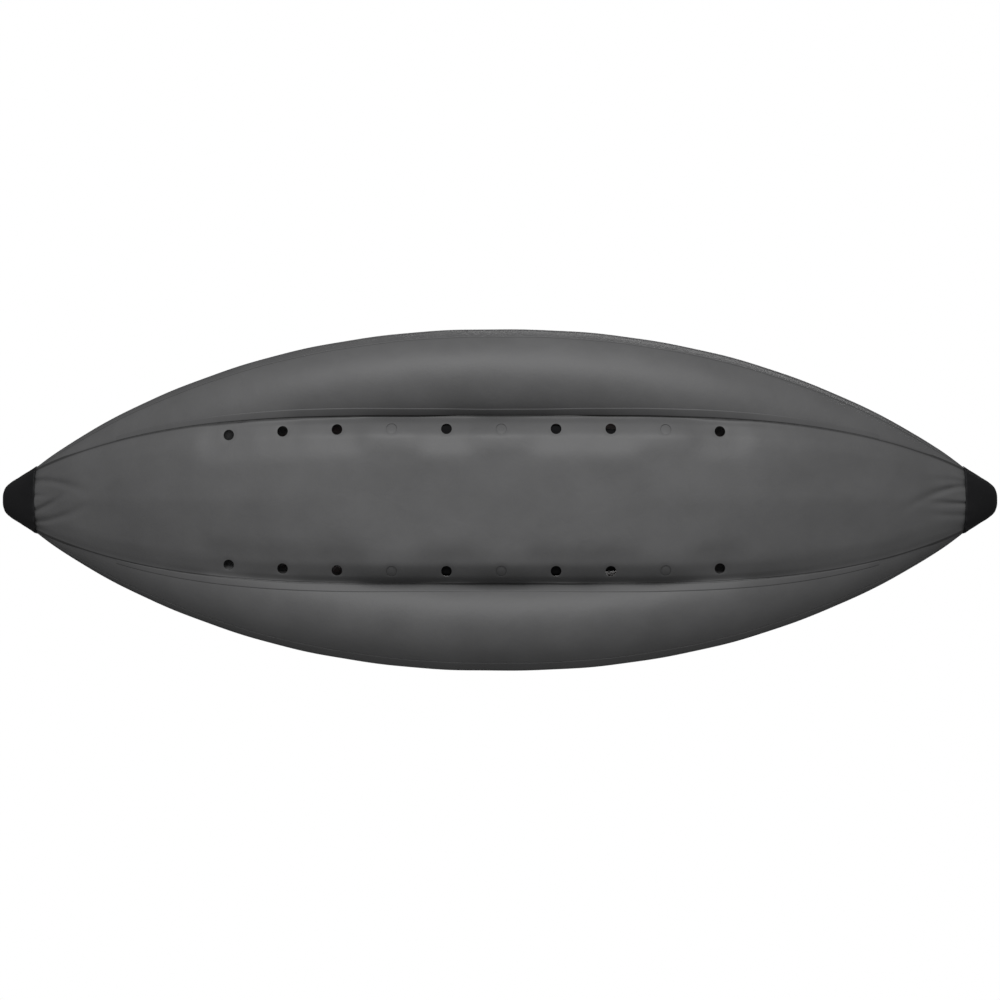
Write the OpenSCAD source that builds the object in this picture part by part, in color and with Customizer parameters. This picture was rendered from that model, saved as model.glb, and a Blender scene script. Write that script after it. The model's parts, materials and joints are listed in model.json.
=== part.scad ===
// Self-bailing inflatable kayak: two air tubes joined at bow and stern, a drop-stitch floor that lies
// in a drained bottom skin, moulded end caps, valves, zips, handles, D-rings and a strapped-in seat.
// +X is the bow, +Y is port, +Z is up. The origin is under the middle of the boat.

/* [Hull] */
// Overall length
hull_length = 2950; // [2700:10:3500]
// Overall beam over the tubes
hull_beam = 980; // [900:5:1150]
// Width of the cockpit between the tubes amidships
cockpit_width = 420; // [360:5:480]
// Width of the bottom skin amidships, seam to seam
floor_width = 474; // [430:2:520]
// Height of the tube centreline above the ground amidships
tube_height = 165; // [155:1:200]
// Rise of the tube centreline from amidships to the end caps
rocker = 235; // [150:5:300]
// Wall of the outer fabric shell
shell_wall = 2; // [1.5:0.5:3]
// Wall of the air bladders
bladder_wall = 1; // [0.8:0.1:1.5]

/* [Ends] */
// Length of each moulded end cap
cap_length = 110; // [70:5:130]
// Width of the hull where the end cap starts
cap_width = 196; // [170:2:220]
// Wall of the end caps
cap_wall = 3; // [2:0.5:4]

/* [Floor] */
// Thickness of the drop-stitch floor insert
insert_thickness = 100; // [75:1:120]
// Half-length of the floor insert
insert_reach = 1120; // [950:10:1200]
// Gap on each side between the insert and the tubes, at the height of the insert's top
gutter = 6; // [3:1:30]
// Diameter of the drain holes
drain_diameter = 31; // [20:1:38]
// Number of drain holes in each row
drain_count = 10; // [6:1:11]
// Distance between drain holes
drain_pitch = 155; // [120:5:160]
// Position of the middle of the drain rows
drain_middle = -74; // [-90:1:90]
// Distance from the seam to the drain hole centres
drain_inset = 35; // [30:1:45]

/* [Fittings] */
// Radius of the socket that takes the pump adapter
socket_radius = 18; // [15:0.5:20]
// Depth of the pump adapter's socket
socket_depth = 9.5; // [7:0.5:12]
// Diameter of the D-rings' wire
ring_wire = 6; // [4:0.5:8]
// Inside width of the D-rings
ring_width = 38; // [30:1:50]
// Length of the tube zips
zip_length = 380; // [250:10:420]
// Length of the grab handles' grips
grip_length = 96; // [80:2:120]
// Diameter of the grab handles' grips
grip_diameter = 26; // [20:1:32]

/* [Seat] */
// Length of the seat base
seat_length = 380; // [320:10:420]
// Width of the seat base and the backrest
seat_width = 340; // [280:10:344]
// Thickness of the seat base
seat_thickness = 48; // [30:1:60]
// Height of the backrest
back_height = 400; // [300:10:480]
// Thickness of the backrest
back_thickness = 44; // [30:1:50]
// Recline of the backrest
back_recline = 14; // [8:1:20]
// Width of the seat straps
strap_width = 25; // [20:1:38]

/* [Hidden] */
$fn = 48;

fit = 0.4; // gap between soft pieces that lie on each other
slack = 0.08; // radial gap of a pin in its bore

// ---- Hull lines: x is the distance forward of amidships ----
cap_start = hull_length / 2 - cap_length;
nose_length = cap_length / 2;
nose_radius_share = 0.72;
middle_gap = 0.3;

function share(x) = min(1, abs(x) / cap_start);
// Half-beam of the tubes
function outline(x) = cap_width / 2 + (hull_beam - cap_width) / 2 * pow(1 - pow(share(x), 2.17), 0.95);
// Half-width between the tubes
function cockpit(x) = middle_gap + (cockpit_width / 2 - middle_gap) * pow(1 - pow(share(x), 1.8), 1.25);
function past_cap(x) = max(0, abs(x) - cap_start) / nose_length;
cap_step = cap_wall + 2;
function tube_r(x) = (outline(x) - cockpit(x)) / 2
    - (past_cap(x) > 0 ? cap_step + (cap_width / 4 - cap_step) * nose_radius_share * past_cap(x) : 0);
function tube_y(x) = (outline(x) + cockpit(x)) / 2;
function tube_z(x) = tube_height + rocker * pow(abs(x) / cap_start, 2.6);

// Angles round a tube run from straight down, positive outboard on the port side
lower_from = -68;
lower_to = 77;
lower_steps = 13;
upper_steps = 16;
lower_angles = [for (i = [0:lower_steps]) lower_from + (lower_to - lower_from) * i / lower_steps];
upper_angles = [for (i = [0:upper_steps]) lower_to + (lower_from + 360 - lower_to) * i / upper_steps];

function tube_point(x, a, out = 0) =
    [x, tube_y(x) + (tube_r(x) + out) * sin(a), tube_z(x) - (tube_r(x) + out) * cos(a)];

// The sections of every hull piece share these stations: one on each side of each drain hole, then
// closer and closer together towards the ends
drain_xs = [for (i = [0:drain_count - 1]) drain_middle + (i - (drain_count - 1) / 2) * drain_pitch];
hole_cell = 40;
drain_end = (drain_count - 1) / 2 * drain_pitch + hole_cell;
function run_out(from, steps) = [for (i = [1:steps]) let (u = i / steps)
    mix(from, cap_start, 1.3 * u - 0.3 * pow(u, 3))];
aft_run = run_out(drain_end - drain_middle, 7);
fore_run = run_out(drain_end + drain_middle, 8);
stations = concat([for (i = [len(aft_run) - 1:-1:0]) -aft_run[i]],
    [for (x = drain_xs) each [x - hole_cell, x + hole_cell]], fore_run);
nose_shares = [0.04, 0.5, 1];
nose = [for (s = nose_shares) cap_start + nose_length * s];
tube_stations = concat([for (i = [len(nose) - 1:-1:0]) -nose[i]], stations, nose);

// ---- Bottom skin ----
flat_reach = 350; // the bottom is level this far forward and aft of amidships
end_drop = 20; // the skin hangs this far under the tubes at the end caps
crown_rise = 16; // the bottom rises this much from its level middle to its edges
level_share = 0.4; // share of the half-width that is level
ridge_rise = 22; // height of the shallow V towards the ends
ridge_length = 1200;
floor_end_width = cap_width - 24;
seam_gap = 1;

function skin_half(x) =
    floor_end_width / 2 + (floor_width - floor_end_width) / 2 * (1 - pow(share(x), 3.8));
function skin_bottom(x) = (tube_z(cap_start) - tube_r(cap_start) - end_drop)
    * pow(max(0, abs(x) - flat_reach) / (cap_start - flat_reach), 2.4);
function ridge(x) = ridge_rise * sin(min(180, 180 * max(0, abs(x) - flat_reach) / ridge_length));
function shoulder_power(x) = 30 - 25 * pow(share(x), 1.2);
// Underside of the tube at distance y from the centreline
function tube_under(x, y) = tube_z(x) - sqrt(max(1, pow(tube_r(x), 2) - pow(y - tube_y(x), 2)));
function seam_z(x) = min(tube_under(x, skin_half(x)), tube_under(x, skin_half(x) - shell_wall)) - seam_gap;
function crown(x, s) = crown_rise * pow(max(0, abs(s) - level_share) / (1 - level_share), 2.5)
    * (1 - 0.8 * share(x)) + ridge(x) * abs(s);
function skin_z(x, s) = skin_bottom(x) + crown(x, s)
    + (seam_z(x) - skin_bottom(x) - crown(x, 1)) * pow(abs(s), shoulder_power(x));
// Lines along the skin: the drain holes lie between two of them
drain_margin = drain_diameter / 2 + 4;
function skin_lines(x) = let (
        half = skin_half(x),
        low = half - drain_inset - drain_margin,
        high = half - drain_inset + drain_margin,
        level = min(level_share * half, 0.6 * low)
    ) [0, level, (level + low) / 2, low, high, for (u = [0.5, 0.8, 0.93, 1]) mix(high, half, u)];
side_lines = 8;
function skin_ys(x) = let (ys = skin_lines(x)) concat([for (i = [side_lines:-1:1]) -ys[i]], ys);
function skin_outer(x) = [for (y = skin_ys(x)) [x, y, skin_z(x, y / skin_half(x))]];
// The inside is a wall's thickness away, and meets the outside level at the seam
function skin_inner(x) = let (inside = (skin_half(x) - shell_wall) / skin_half(x))
    [for (y = skin_ys(x)) [x, y * inside, skin_inside_z(x, y / skin_half(x))]];
function skin_inside_z(x, s) = skin_z(x, s) + shell_wall * (1 - pow(abs(s), 20));
function seam_angle(x) = asin(max(-1, min(1, (skin_half(x) - tube_y(x)) / tube_r(x))));

// ---- Drain holes ----
function drain_y(x) = skin_half(x) - drain_inset;
tab_holes = [3, 5, 8]; // the holes that a tab of the floor insert covers

// ---- Surfaces ----
// A closed solid between an outer and an inner grid of points, both as rows of equal length.
// Each of the holes, as [row, column, x, y], goes straight through one cell of the grid.
module sheet(outer, inner, holes = []) {
    rows = len(outer);
    cols = len(outer[0]);
    grid = rows * cols;
    cells = [for (i = [0:rows - 2], j = [0:cols - 2]) if (!is_hole(holes, i, j)) [i, j]];
    function o(i, j) = i * cols + j;
    function n(i, j) = grid + i * cols + j;
    function rim(h, k) = 2 * grid + 2 * hole_sides * h + k % hole_sides;
    function back(h, k) = rim(h, k) + hole_sides;
    polyhedron(
        points = concat([for (row = outer) each row], [for (row = inner) each row],
            [for (h = holes, g = [outer, inner], k = [0:hole_sides - 1])
                on_cell(g, h[0], h[1], h[2] + drain_diameter / 2 * cos(360 * k / hole_sides),
                    h[3] + drain_diameter / 2 * sin(360 * k / hole_sides))]),
        faces = concat(
            [for (c = cells, i = c[0], j = c[1]) each
                [[o(i, j), o(i + 1, j + 1), o(i, j + 1)], [o(i, j), o(i + 1, j), o(i + 1, j + 1)]]],
            [for (c = cells, i = c[0], j = c[1]) each
                [[n(i, j), n(i, j + 1), n(i + 1, j + 1)], [n(i, j), n(i + 1, j + 1), n(i + 1, j)]]],
            [for (i = [0:rows - 2]) each
                [[o(i, 0), n(i + 1, 0), o(i + 1, 0)], [o(i, 0), n(i, 0), n(i + 1, 0)]]],
            [for (i = [0:rows - 2], j = cols - 1) each
                [[o(i, j), o(i + 1, j), n(i + 1, j)], [o(i, j), n(i + 1, j), n(i, j)]]],
            [for (j = [0:cols - 2]) each
                [[o(0, j), o(0, j + 1), n(0, j + 1)], [o(0, j), n(0, j + 1), n(0, j)]]],
            [for (j = [0:cols - 2], i = rows - 1) each
                [[o(i, j), n(i, j + 1), o(i, j + 1)], [o(i, j), n(i, j), n(i, j + 1)]]],
            [for (h = [0:1:len(holes) - 1], q = [0:3]) let (
                    i = holes[h][0],
                    j = holes[h][1],
                    corners = [[i + 1, j + 1], [i, j + 1], [i, j], [i + 1, j]],
                    c = corners[q],
                    next = corners[(q + 1) % 4],
                    last = (q + 1) * hole_sides / 4
                ) each concat(
                    [for (k = [q * hole_sides / 4:last - 1]) each [
                        [o(c[0], c[1]), rim(h, k + 1), rim(h, k)],
                        [n(c[0], c[1]), back(h, k), back(h, k + 1)],
                        [rim(h, k), rim(h, k + 1), back(h, k)],
                        [rim(h, k + 1), back(h, k + 1), back(h, k)]]],
                    [[o(c[0], c[1]), o(next[0], next[1]), rim(h, last)],
                        [n(c[0], c[1]), back(h, last), n(next[0], next[1])]]
                )]
        ),
        convexity = 10
    );
}
hole_sides = 20;
function is_hole(holes, i, j) = len([for (h = holes) if (h[0] == i && h[1] == j) 1]) > 0;
function mix(a, b, u) = a + (b - a) * u;
// The point of a grid's cell that is over x, y
function on_cell(g, i, j, x, y) = let (
        u = (x - g[i][j][0]) / (g[i + 1][j][0] - g[i][j][0]),
        low = mix(g[i][j], g[i + 1][j], u),
        high = mix(g[i][j + 1], g[i + 1][j + 1], u)
    ) mix(low, high, (y - low[1]) / (high[1] - low[1]));

// A closed solid through convex loops of equal length
module loft(loops) {
    rows = len(loops);
    cols = len(loops[0]);
    function p(i, j) = i * cols + j % cols;
    polyhedron(
        points = [for (loop = loops) each loop],
        faces = concat(
            [for (i = [0:rows - 2], j = [0:cols - 1]) each
                [[p(i, j), p(i + 1, j + 1), p(i, j + 1)], [p(i, j), p(i + 1, j), p(i + 1, j + 1)]]],
            [for (j = [1:cols - 2]) [p(0, 0), p(0, j), p(0, j + 1)]],
            [for (j = [1:cols - 2]) [p(rows - 1, 0), p(rows - 1, j + 1), p(rows - 1, j)]]
        ),
        convexity = 10
    );
}

// Both sides of the boat
module starboard() {
    mirror([0, 1, 0]) children();
}
module both_sides() {
    children();
    starboard() children();
}
module stern() {
    mirror([1, 0, 0]) children();
}

// Places children on the port tube at x and angle a: local +Z is out of the fabric, +X forward
function unit(v) = v / norm(v);
frame_step = 5;
fitting_lift = 2 * fit;
// A tube is a prism between its angles, so a flat piece lies on the nearest of its edges
function flat_drop(x, a) = let (step = upper_angles[1] - upper_angles[0], turns = (a - lower_to) / step)
    tube_r(x) * (cos((turns - round(turns)) * step) - 1);
function along(x, a) = unit(tube_point(x + frame_step, a) - tube_point(x - frame_step, a));
function out_of(x, a) = unit(cross([0, cos(a), sin(a)], along(x, a)));
function on_tube_point(x, a) = tube_point(x, a, flat_drop(x, a) + fitting_lift);
function in_tube_frame(x, a, v) = on_tube_point(x, a) + along(x, a) * v[0]
    + cross(out_of(x, a), along(x, a)) * v[1] + out_of(x, a) * v[2];
module on_tube(x, a) {
    t = along(x, a);
    n = out_of(x, a);
    b = cross(n, t);
    p = on_tube_point(x, a);
    multmatrix([[t[0], b[0], n[0], p[0]], [t[1], b[1], n[1], p[1]], [t[2], b[2], n[2], p[2]], [0, 0, 0, 1]])
        children();
}

// ---- Tubes ----
module tube_panel(angles) {
    sheet(
        [for (x = tube_stations) [for (a = angles) tube_point(x, a)]],
        [for (x = tube_stations) [for (a = angles) tube_point(x, a, -shell_wall)]]
    );
}
module tube_lower_panel() {
    color("dimgray") tube_panel(lower_angles);
}
module tube_upper_panel() {
    color("firebrick") difference() {
        tube_panel([for (i = [0:upper_steps]) upper_angles[i] + (i == 0 ? panel_gap_angle
            : i == upper_steps ? -panel_gap_angle : 0)]);
        on_tube(valve_x, valve_a) cylinder(r = barrel_r + fit, h = 40, center = true);
        along_zip(-zip_sweep * 0.92, zip_sweep * 0.92)
            translate([-zip_slot / 2, -12]) square([zip_slot, 11]);
    }
}
panel_gap_angle = 0.15;

bladder_out = -shell_wall - fit;
bladder_stations = [for (i = [1:len(stations) - 2]) stations[i]];
bladder_angles = concat([for (i = [0:2:lower_steps - 1]) lower_angles[i]],
    [for (i = [1:2:upper_steps - 1]) upper_angles[i]]);
module bladder_body(out, reach) {
    loft([for (x = bladder_stations) [for (a = bladder_angles) tube_point(x * reach, a, out)]]);
}
module tube_bladder() {
    color("lightsteelblue") difference() {
        bladder_body(bladder_out, 1);
        bladder_body(bladder_out - bladder_wall, 0.998);
        on_tube(valve_x, valve_a) cylinder(r = barrel_r + fit, h = 40, center = true);
    }
}

strake_wall = 1.4;
module rub_strake() {
    angles = [for (i = [lower_steps - 2:lower_steps]) lower_angles[i]];
    color("gray") sheet(
        [for (x = stations) [for (a = angles) tube_point(x, a, fit + strake_wall)]],
        [for (x = stations) [for (a = angles) tube_point(x, a, fit)]]
    );
}

tape_wall = 1;
tape_width = 28;
tape_end_width = 12;
tape_reach = 1120;
tape_stations = [for (x = stations) if (abs(x) < tape_reach) x];
function tape_row(x, out) = let (
        wide = tape_end_width + (tape_width - tape_end_width) * (1 - pow(x / tape_reach, 2)),
        from = seam_angle(x) + 1.5
    ) [for (s = [0, 0.5, 1]) tube_point(x, from + s * wide / tube_r(x) * 180 / PI, out)];
module floor_tape() {
    color("gray") sheet(
        [for (x = tape_stations) tape_row(x, fitting_lift + tape_wall)],
        [for (x = tape_stations) tape_row(x, fitting_lift)]
    );
}

// ---- Floor ----
module floor_bottom_skin() {
    color("dimgray") sheet([for (x = stations) skin_outer(x)], [for (x = stations) skin_inner(x)],
        [for (i = [0:drain_count - 1], s = [-1, 1])
            [len(aft_run) + 2 * i, side_lines + (s > 0 ? 3 : -4), drain_xs[i], s * drain_y(drain_xs[i])]]);
}

insert_stations = [for (x = stations) if (abs(x) <= insert_reach) x];
insert_power = 3.4; // how square the insert's section is
insert_sides = 20;
function insert_height(x) = insert_thickness * (1 - 0.6 * pow(abs(x) / insert_reach, 6));
// The side of the tube at the height of the insert's top
function flank(x) = tube_y(x)
    - sqrt(pow(tube_r(x), 2) - pow(tube_z(x) - skin_bottom(x) - shell_wall - insert_height(x), 2));
function insert_half(x) = flank(x) - gutter;
function insert_lift(x) = skin_bottom(x) + shell_wall + fit + ridge(x) * insert_half(x) / skin_half(x);
function insert_loop(x) = [for (i = [0:insert_sides - 1])
    let (a = 360 * i / insert_sides, h = insert_height(x) / 2)
    [x, insert_half(x) * sign(cos(a)) * pow(abs(cos(a)), 2 / insert_power),
        insert_lift(x) + h + h * sign(sin(a)) * pow(abs(sin(a)), 2 / insert_power)]];
module floor_insert() {
    color("lightgray") difference() {
        loft([for (x = insert_stations) insert_loop(x)]);
        on_floor() translate([0, 0, -60]) cylinder(r = barrel_r + fit, h = 80);
    }
}

tab_thickness = 1.5;
tab_width = 70;
function tab_row(x, out) = let (row = skin_inner(x), low = row[side_lines + 3], high = row[side_lines + 4])
    [for (u = [0.03, 0.93]) mix(low, high, u) + [0, 0, out]];
function tab_ends(i) = [for (s = [-1, 1]) drain_xs[i] + s * tab_width / 2];
module floor_tabs() {
    color("dimgray") both_sides() for (i = tab_holes) if (i < drain_count)
        sheet([for (x = tab_ends(i)) tab_row(x, tab_lift)],
            [for (x = tab_ends(i)) tab_row(x, tab_lift + tab_thickness)]);
}
tab_lift = 2 * fit;

// ---- End caps and decks ----
cap_sides = 28;
cap_power = 2.6;
cap_top = 53; // above the tube centreline where the cap starts
cap_bottom = end_drop + 52; // below it
cap_gap = 2.5; // the tubes step in to the caps over this length
cap_shares = [0, 0.2, 0.4, 0.58, 0.74, 0.86, 0.94, 0.98, 0.998];
// The cap narrows in a straight line and ends in a round nose
function cap_taper(u, blunt) = (1 - u) * (1 - blunt) + blunt * sqrt(max(0, 1 - pow(u, 12)));
function cap_loop(u, wall) = [for (i = [0:cap_sides - 1])
    let (
        a = 360 * i / cap_sides,
        x = cap_start + cap_gap + u * (cap_length - cap_gap - wall),
        half_w = max(0.5, cap_width / 2 * cap_taper(u, 0.38) - wall),
        half_h = max(0.5, (cap_top + cap_bottom) / 2 * cap_taper(u, 0.6) - wall),
        mid = tube_z(x) + (cap_top - cap_bottom) / 2 * (1 - u)
    )
    [x, half_w * sign(cos(a)) * pow(abs(cos(a)), 2 / cap_power),
        mid + half_h * sign(sin(a)) * pow(abs(sin(a)), 2 / cap_power)]];
module end_cap() {
    color([0.12, 0.12, 0.13]) difference() {
        loft([for (u = cap_shares) cap_loop(u, 0)]);
        loft(concat([[for (p = cap_loop(0, cap_wall)) p - [1, 0, 0]]],
            [for (u = cap_shares) cap_loop(u, cap_wall)]));
    }
}

deck_wall = 2;
deck_from = 1150;
deck_angles = [for (i = [5:8]) upper_angles[i]]; // the last is just past the tube's crest
deck_stations = [for (x = stations) if (x > deck_from) x];
deck_sag = 0.01;
function deck_row(x, out) = let (
        side = [for (a = deck_angles) tube_point(x, a, out)],
        edge = side[len(side) - 1],
        middle = [for (s = [0.6, 0, -0.6]) [x, edge[1] * s, edge[2] - edge[1] * deck_sag * (1 - s * s)]]
    ) concat(side, middle, [for (i = [len(side) - 1:-1:0]) [x, -side[i][1], side[i][2]]]);
module end_deck() {
    color([0.15, 0.15, 0.16]) sheet(
        [for (x = deck_stations) deck_row(x, fit + deck_wall)],
        [for (x = deck_stations) deck_row(x, fit)]
    );
}

// ---- Valves: local +Z is out of the fabric, and z = 0 is its outer face ----
valve_x = -930;
valve_a = 205;
floor_valve_x = drain_xs[0];
barrel_r = socket_radius + 4;
valve_flange_r = barrel_r + 10;
valve_top = 3 + socket_depth;
throat_r = socket_radius - 3;
seat_lip_r = throat_r - 5;
spider_z = -14;
stem_r = 3;
button_r = 6;
hinge_x = -barrel_r - 5;
hinge_z = valve_top + 1.9;
hinge_pin_r = 1.5;
// The valve stands on the insert's facet between two stations
function floor_top(x) = insert_lift(x) + insert_height(x);
floor_valve_ends = [for (s = [-1, 1]) floor_top(floor_valve_x + s * hole_cell)];
floor_valve_slope = atan((floor_valve_ends[1] - floor_valve_ends[0]) / (2 * hole_cell));
module on_floor() {
    translate([floor_valve_x, 0, (floor_valve_ends[0] + floor_valve_ends[1]) / 2 + fit])
        rotate([0, -floor_valve_slope, 0]) children();
}
module at_tube_valve() {
    on_tube(valve_x, valve_a) children();
}
module valve_base_ring(under) {
    translate([0, 0, under - 3]) difference() {
        cylinder(r = valve_flange_r, h = 3);
        translate([0, 0, -1]) cylinder(r = barrel_r + slack, h = 5);
    }
}
base_drop = 11.5; // the curve of the bladder under the ring
module valve_bases() {
    color("whitesmoke") both_sides() at_tube_valve() valve_base_ring(-base_drop);
}
gasket_thickness = 1.5;
module valve_gasket() {
    difference() {
        cylinder(r = valve_flange_r - 1, h = gasket_thickness);
        translate([0, 0, -1]) cylinder(r = barrel_r + slack, h = gasket_thickness + 2);
    }
}
module valve_gaskets() {
    color([0.1, 0.1, 0.1]) {
        both_sides() at_tube_valve() valve_gasket();
        on_floor() valve_gasket();
    }
}
module valve_hinge_ears() {
    for (s = [-1, 1]) translate([0, s * 8.5 + 1.5, 0]) rotate([90, 0, 0]) difference() {
        linear_extrude(3) polygon([[hinge_x + 10, 5], [hinge_x - 3, 5], [hinge_x - 3, hinge_z + 3],
            [hinge_x + 2.6, hinge_z + 3], [hinge_x + 2.6, valve_top - 1], [hinge_x + 10, valve_top - 1]]);
        translate([hinge_x, hinge_z, -1]) cylinder(r = hinge_pin_r + slack, h = 5);
    }
}
flange_z = gasket_thickness + 0.2;
module valve_body() {
    color("whitesmoke") {
        rotate_extrude() polygon([
            [throat_r, 3], [socket_radius, 3], [socket_radius, valve_top], [barrel_r, valve_top],
            [barrel_r, flange_z + 3], [valve_flange_r - 1, flange_z + 2], [valve_flange_r, flange_z + 1],
            [valve_flange_r, flange_z], [barrel_r, flange_z], [barrel_r, spider_z - 9],
            [barrel_r - 3, spider_z - 9], [barrel_r - 3, spider_z - 3], [seat_lip_r, spider_z - 3],
            [seat_lip_r, spider_z], [throat_r, spider_z]
        ]);
        valve_spider();
        valve_hinge_ears();
    }
}
module valve_spider() {
    difference() {
        translate([0, 0, spider_z]) {
            cylinder(r = stem_r + 3, h = 3);
            for (a = [0, 120, 240])
                rotate(a) translate([stem_r + 1, -1.5, -1]) cube([throat_r - stem_r, 3, 3]);
        }
        translate([0, 0, spider_z - 1]) cylinder(r = stem_r + slack, h = 5);
    }
}
poppet_disc_r = seat_lip_r + 2.5;
poppet_disc_z = spider_z - 6.3;
module valve_poppet() {
    color("orangered") rotate_extrude() polygon([
        [0, poppet_disc_z], [poppet_disc_r, poppet_disc_z], [poppet_disc_r, poppet_disc_z + 3],
        [stem_r, poppet_disc_z + 3], [stem_r, -1], [button_r, -1], [button_r, 0.8],
        [button_r - 1, 1.6], [0, 1.6]
    ]);
}
spring_wire = 0.6;
spring_r = 4.7;
spring_turns = 4;
spring_low = spider_z + 3 + spring_wire + 0.2;
spring_high = -1 - spring_wire - 0.2;
spring_steps = 10;
module valve_spring() {
    steps = spring_turns * spring_steps;
    color("silver") loft([for (i = [0:steps]) let (
            a = 360 * i / spring_steps,
            z = spring_low + (spring_high - spring_low) * i / steps
        ) [for (k = [0:3]) let (b = 90 * k, r = spring_r + spring_wire * cos(b))
            [r * cos(a), r * sin(a), z + spring_wire * sin(b)]]]);
}
module valve_cap() {
    lid_z = valve_top + 0.4;
    color("whitesmoke") difference() {
        union() {
            translate([0, 0, lid_z]) rotate_extrude() polygon([
                [0, 0], [barrel_r + 1, 0], [barrel_r + 1, 2], [barrel_r, 3], [11, 3], [10, 1.8], [0, 1.8]]);
            translate([hinge_x, -6.5, lid_z]) cube([14, 13, 3]);
            translate([hinge_x, 6.5, hinge_z]) rotate([90, 0, 0]) cylinder(r = 2.4, h = 13);
            translate([hinge_x, 10.5, hinge_z]) rotate([90, 0, 0]) cylinder(r = hinge_pin_r, h = 21);
            translate([barrel_r - 2, -7, lid_z]) cube([9, 14, 2.4]);
        }
        translate([barrel_r + 5, -8, lid_z + 3.2]) rotate([0, 30, 0]) cube([6, 16, 4]);
    }
}

// ---- Zips: a circular arc that follows the tube about a far axis ----
zip_a = 218;
zip_slot = 6;
zip_tape_width = 46;
zip_reach = zip_length / 2;
zip_bow = tube_point(zip_reach, zip_a) - tube_point(0, zip_a) - [zip_reach, 0, 0];
zip_radius = (pow(zip_reach, 2) + pow(norm(zip_bow), 2)) / (2 * norm(zip_bow));
zip_axis = unit(cross([1, 0, 0], zip_bow));
zip_centre = tube_point(0, zip_a) + unit(zip_bow) * zip_radius;
zip_normal = out_of(0, zip_a);
// The direction out of the fabric, measured in the frame whose Y points at the far axis
zip_tilt = atan2(zip_normal * zip_axis, -(zip_normal * unit(zip_bow)));
zip_sweep = asin(zip_reach / zip_radius);
zip_lift = flat_drop(0, zip_a) + fitting_lift;
// Sweeps a profile of [across the tape, out of the fabric] along the zip, between two angles
module along_zip(from, to) {
    d = unit(zip_bow);
    multmatrix([[1, -d[0], zip_axis[0], zip_centre[0]], [0, -d[1], zip_axis[1], zip_centre[1]],
        [0, -d[2], zip_axis[2], zip_centre[2]], [0, 0, 0, 1]])
        rotate(from + 90) rotate_extrude(angle = to - from, $fn = 180)
        translate([zip_radius, 0]) rotate(zip_tilt - 90) translate([0, zip_lift]) children();
}
module zip_profile() {
    translate([-zip_tape_width / 2, 0]) square([zip_tape_width, 1]);
    translate([-3, 0.5]) square([6, 2.5]);
}
module tube_zip() {
    color([0.1, 0.1, 0.1]) along_zip(-zip_sweep, zip_sweep) zip_profile();
    color([0.1, 0.1, 0.1]) for (s = [-1, 1])
        along_zip(s * zip_sweep - 0.14, s * zip_sweep + 0.14) translate([-6, 0.5]) square([12, 5]);
}
slider_from = -zip_sweep + 0.16;
slider_sweep = 0.34;
slider_gap = 0.5;
module zip_slider() {
    color("silver") along_zip(slider_from, slider_from + slider_sweep) difference() {
        translate([-7, 1 + slider_gap]) square([14, 6]);
        translate([-3 - slider_gap, 0]) square([6 + 2 * slider_gap, 3 + slider_gap]);
    }
    color("silver") along_zip(slider_from + slider_sweep - 0.1, slider_from + slider_sweep + 0.45)
        translate([-4, 5 + slider_gap]) square([8, 1.6]);
}

// ---- Grab handles: the pivot is across the deck, and the grip rests towards the cockpit ----
handle_x = cap_start - 60;
handle_pin_r = 3;
handle_arm = 42;
handle_span = grip_length / 2 + 4;
anchor_height = 9;
function deck_top(x) = deck_row(x, fit + deck_wall)[len(deck_angles) + 1][2];
handle_slope = atan((deck_top(handle_x + 20) - deck_top(handle_x - 20)) / 40);
handle_lift = 14; // the handle's rest angle above the deck
anchor_seat = 1;
module at_handle() {
    translate([handle_x, 0, deck_top(handle_x) + anchor_seat]) rotate([0, -handle_slope, 0]) children();
}
ear_gap = 0.8;
module handle_anchor() {
    color([0.15, 0.15, 0.16]) at_handle() {
        translate([-14, -handle_span - 9, 0]) cube([28, 2 * handle_span + 18, 3]);
        both_sides() translate([0, handle_span + ear_gap + 8, anchor_height]) rotate([90, 0, 0])
            difference() {
                union() {
                    cylinder(r = 6, h = 8);
                    translate([-6, -anchor_height + 2, 0]) cube([12, anchor_height - 2, 8]);
                }
                translate([0, 0, -1]) cylinder(r = handle_pin_r + slack, h = 10);
            }
    }
}
module handle_frame() {
    at_handle() translate([0, 0, anchor_height]) rotate([0, handle_lift, 0]) children();
}
webbing_wall = 3;
module handle_webbing() {
    color([0.15, 0.15, 0.16]) handle_frame() both_sides()
        translate([0, handle_span, 0]) rotate([90, 0, 0]) {
        translate([0, 0, -8]) cylinder(r = handle_pin_r, h = 9);
        difference() {
            hull() {
                cylinder(r = 5, h = webbing_wall);
                translate([-handle_arm, 0, 0]) cylinder(r = 7, h = webbing_wall);
            }
            translate([-handle_arm, 0, -1]) cylinder(r = grip_pin_r + 0.3, h = webbing_wall + 2);
        }
    }
}
grip_pin_r = 2.3;
module handle_grip() {
    color([0.1, 0.1, 0.1]) handle_frame() translate([-handle_arm, 0, 0]) rotate([90, 0, 0]) {
        cylinder(r = grip_pin_r, h = 2 * handle_span + 1, center = true);
        rotate_extrude() grip_profile();
    }
}
module grip_profile() {
    r = grip_diameter / 2;
    h = grip_length / 2;
    ribs = 7;
    step = (grip_length - 10) / ribs;
    polygon(concat([[0, -h], [r - 2, -h], [r, -h + 2]],
        [for (i = [0:ribs - 1]) each let (z = -h + 5 + i * step)
            [[r, z], [r - 1.2, z + 1], [r - 1.2, z + 2], [r, z + 3]]],
        [[r, h - 2], [r - 2, h], [0, h]]));
}

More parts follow.
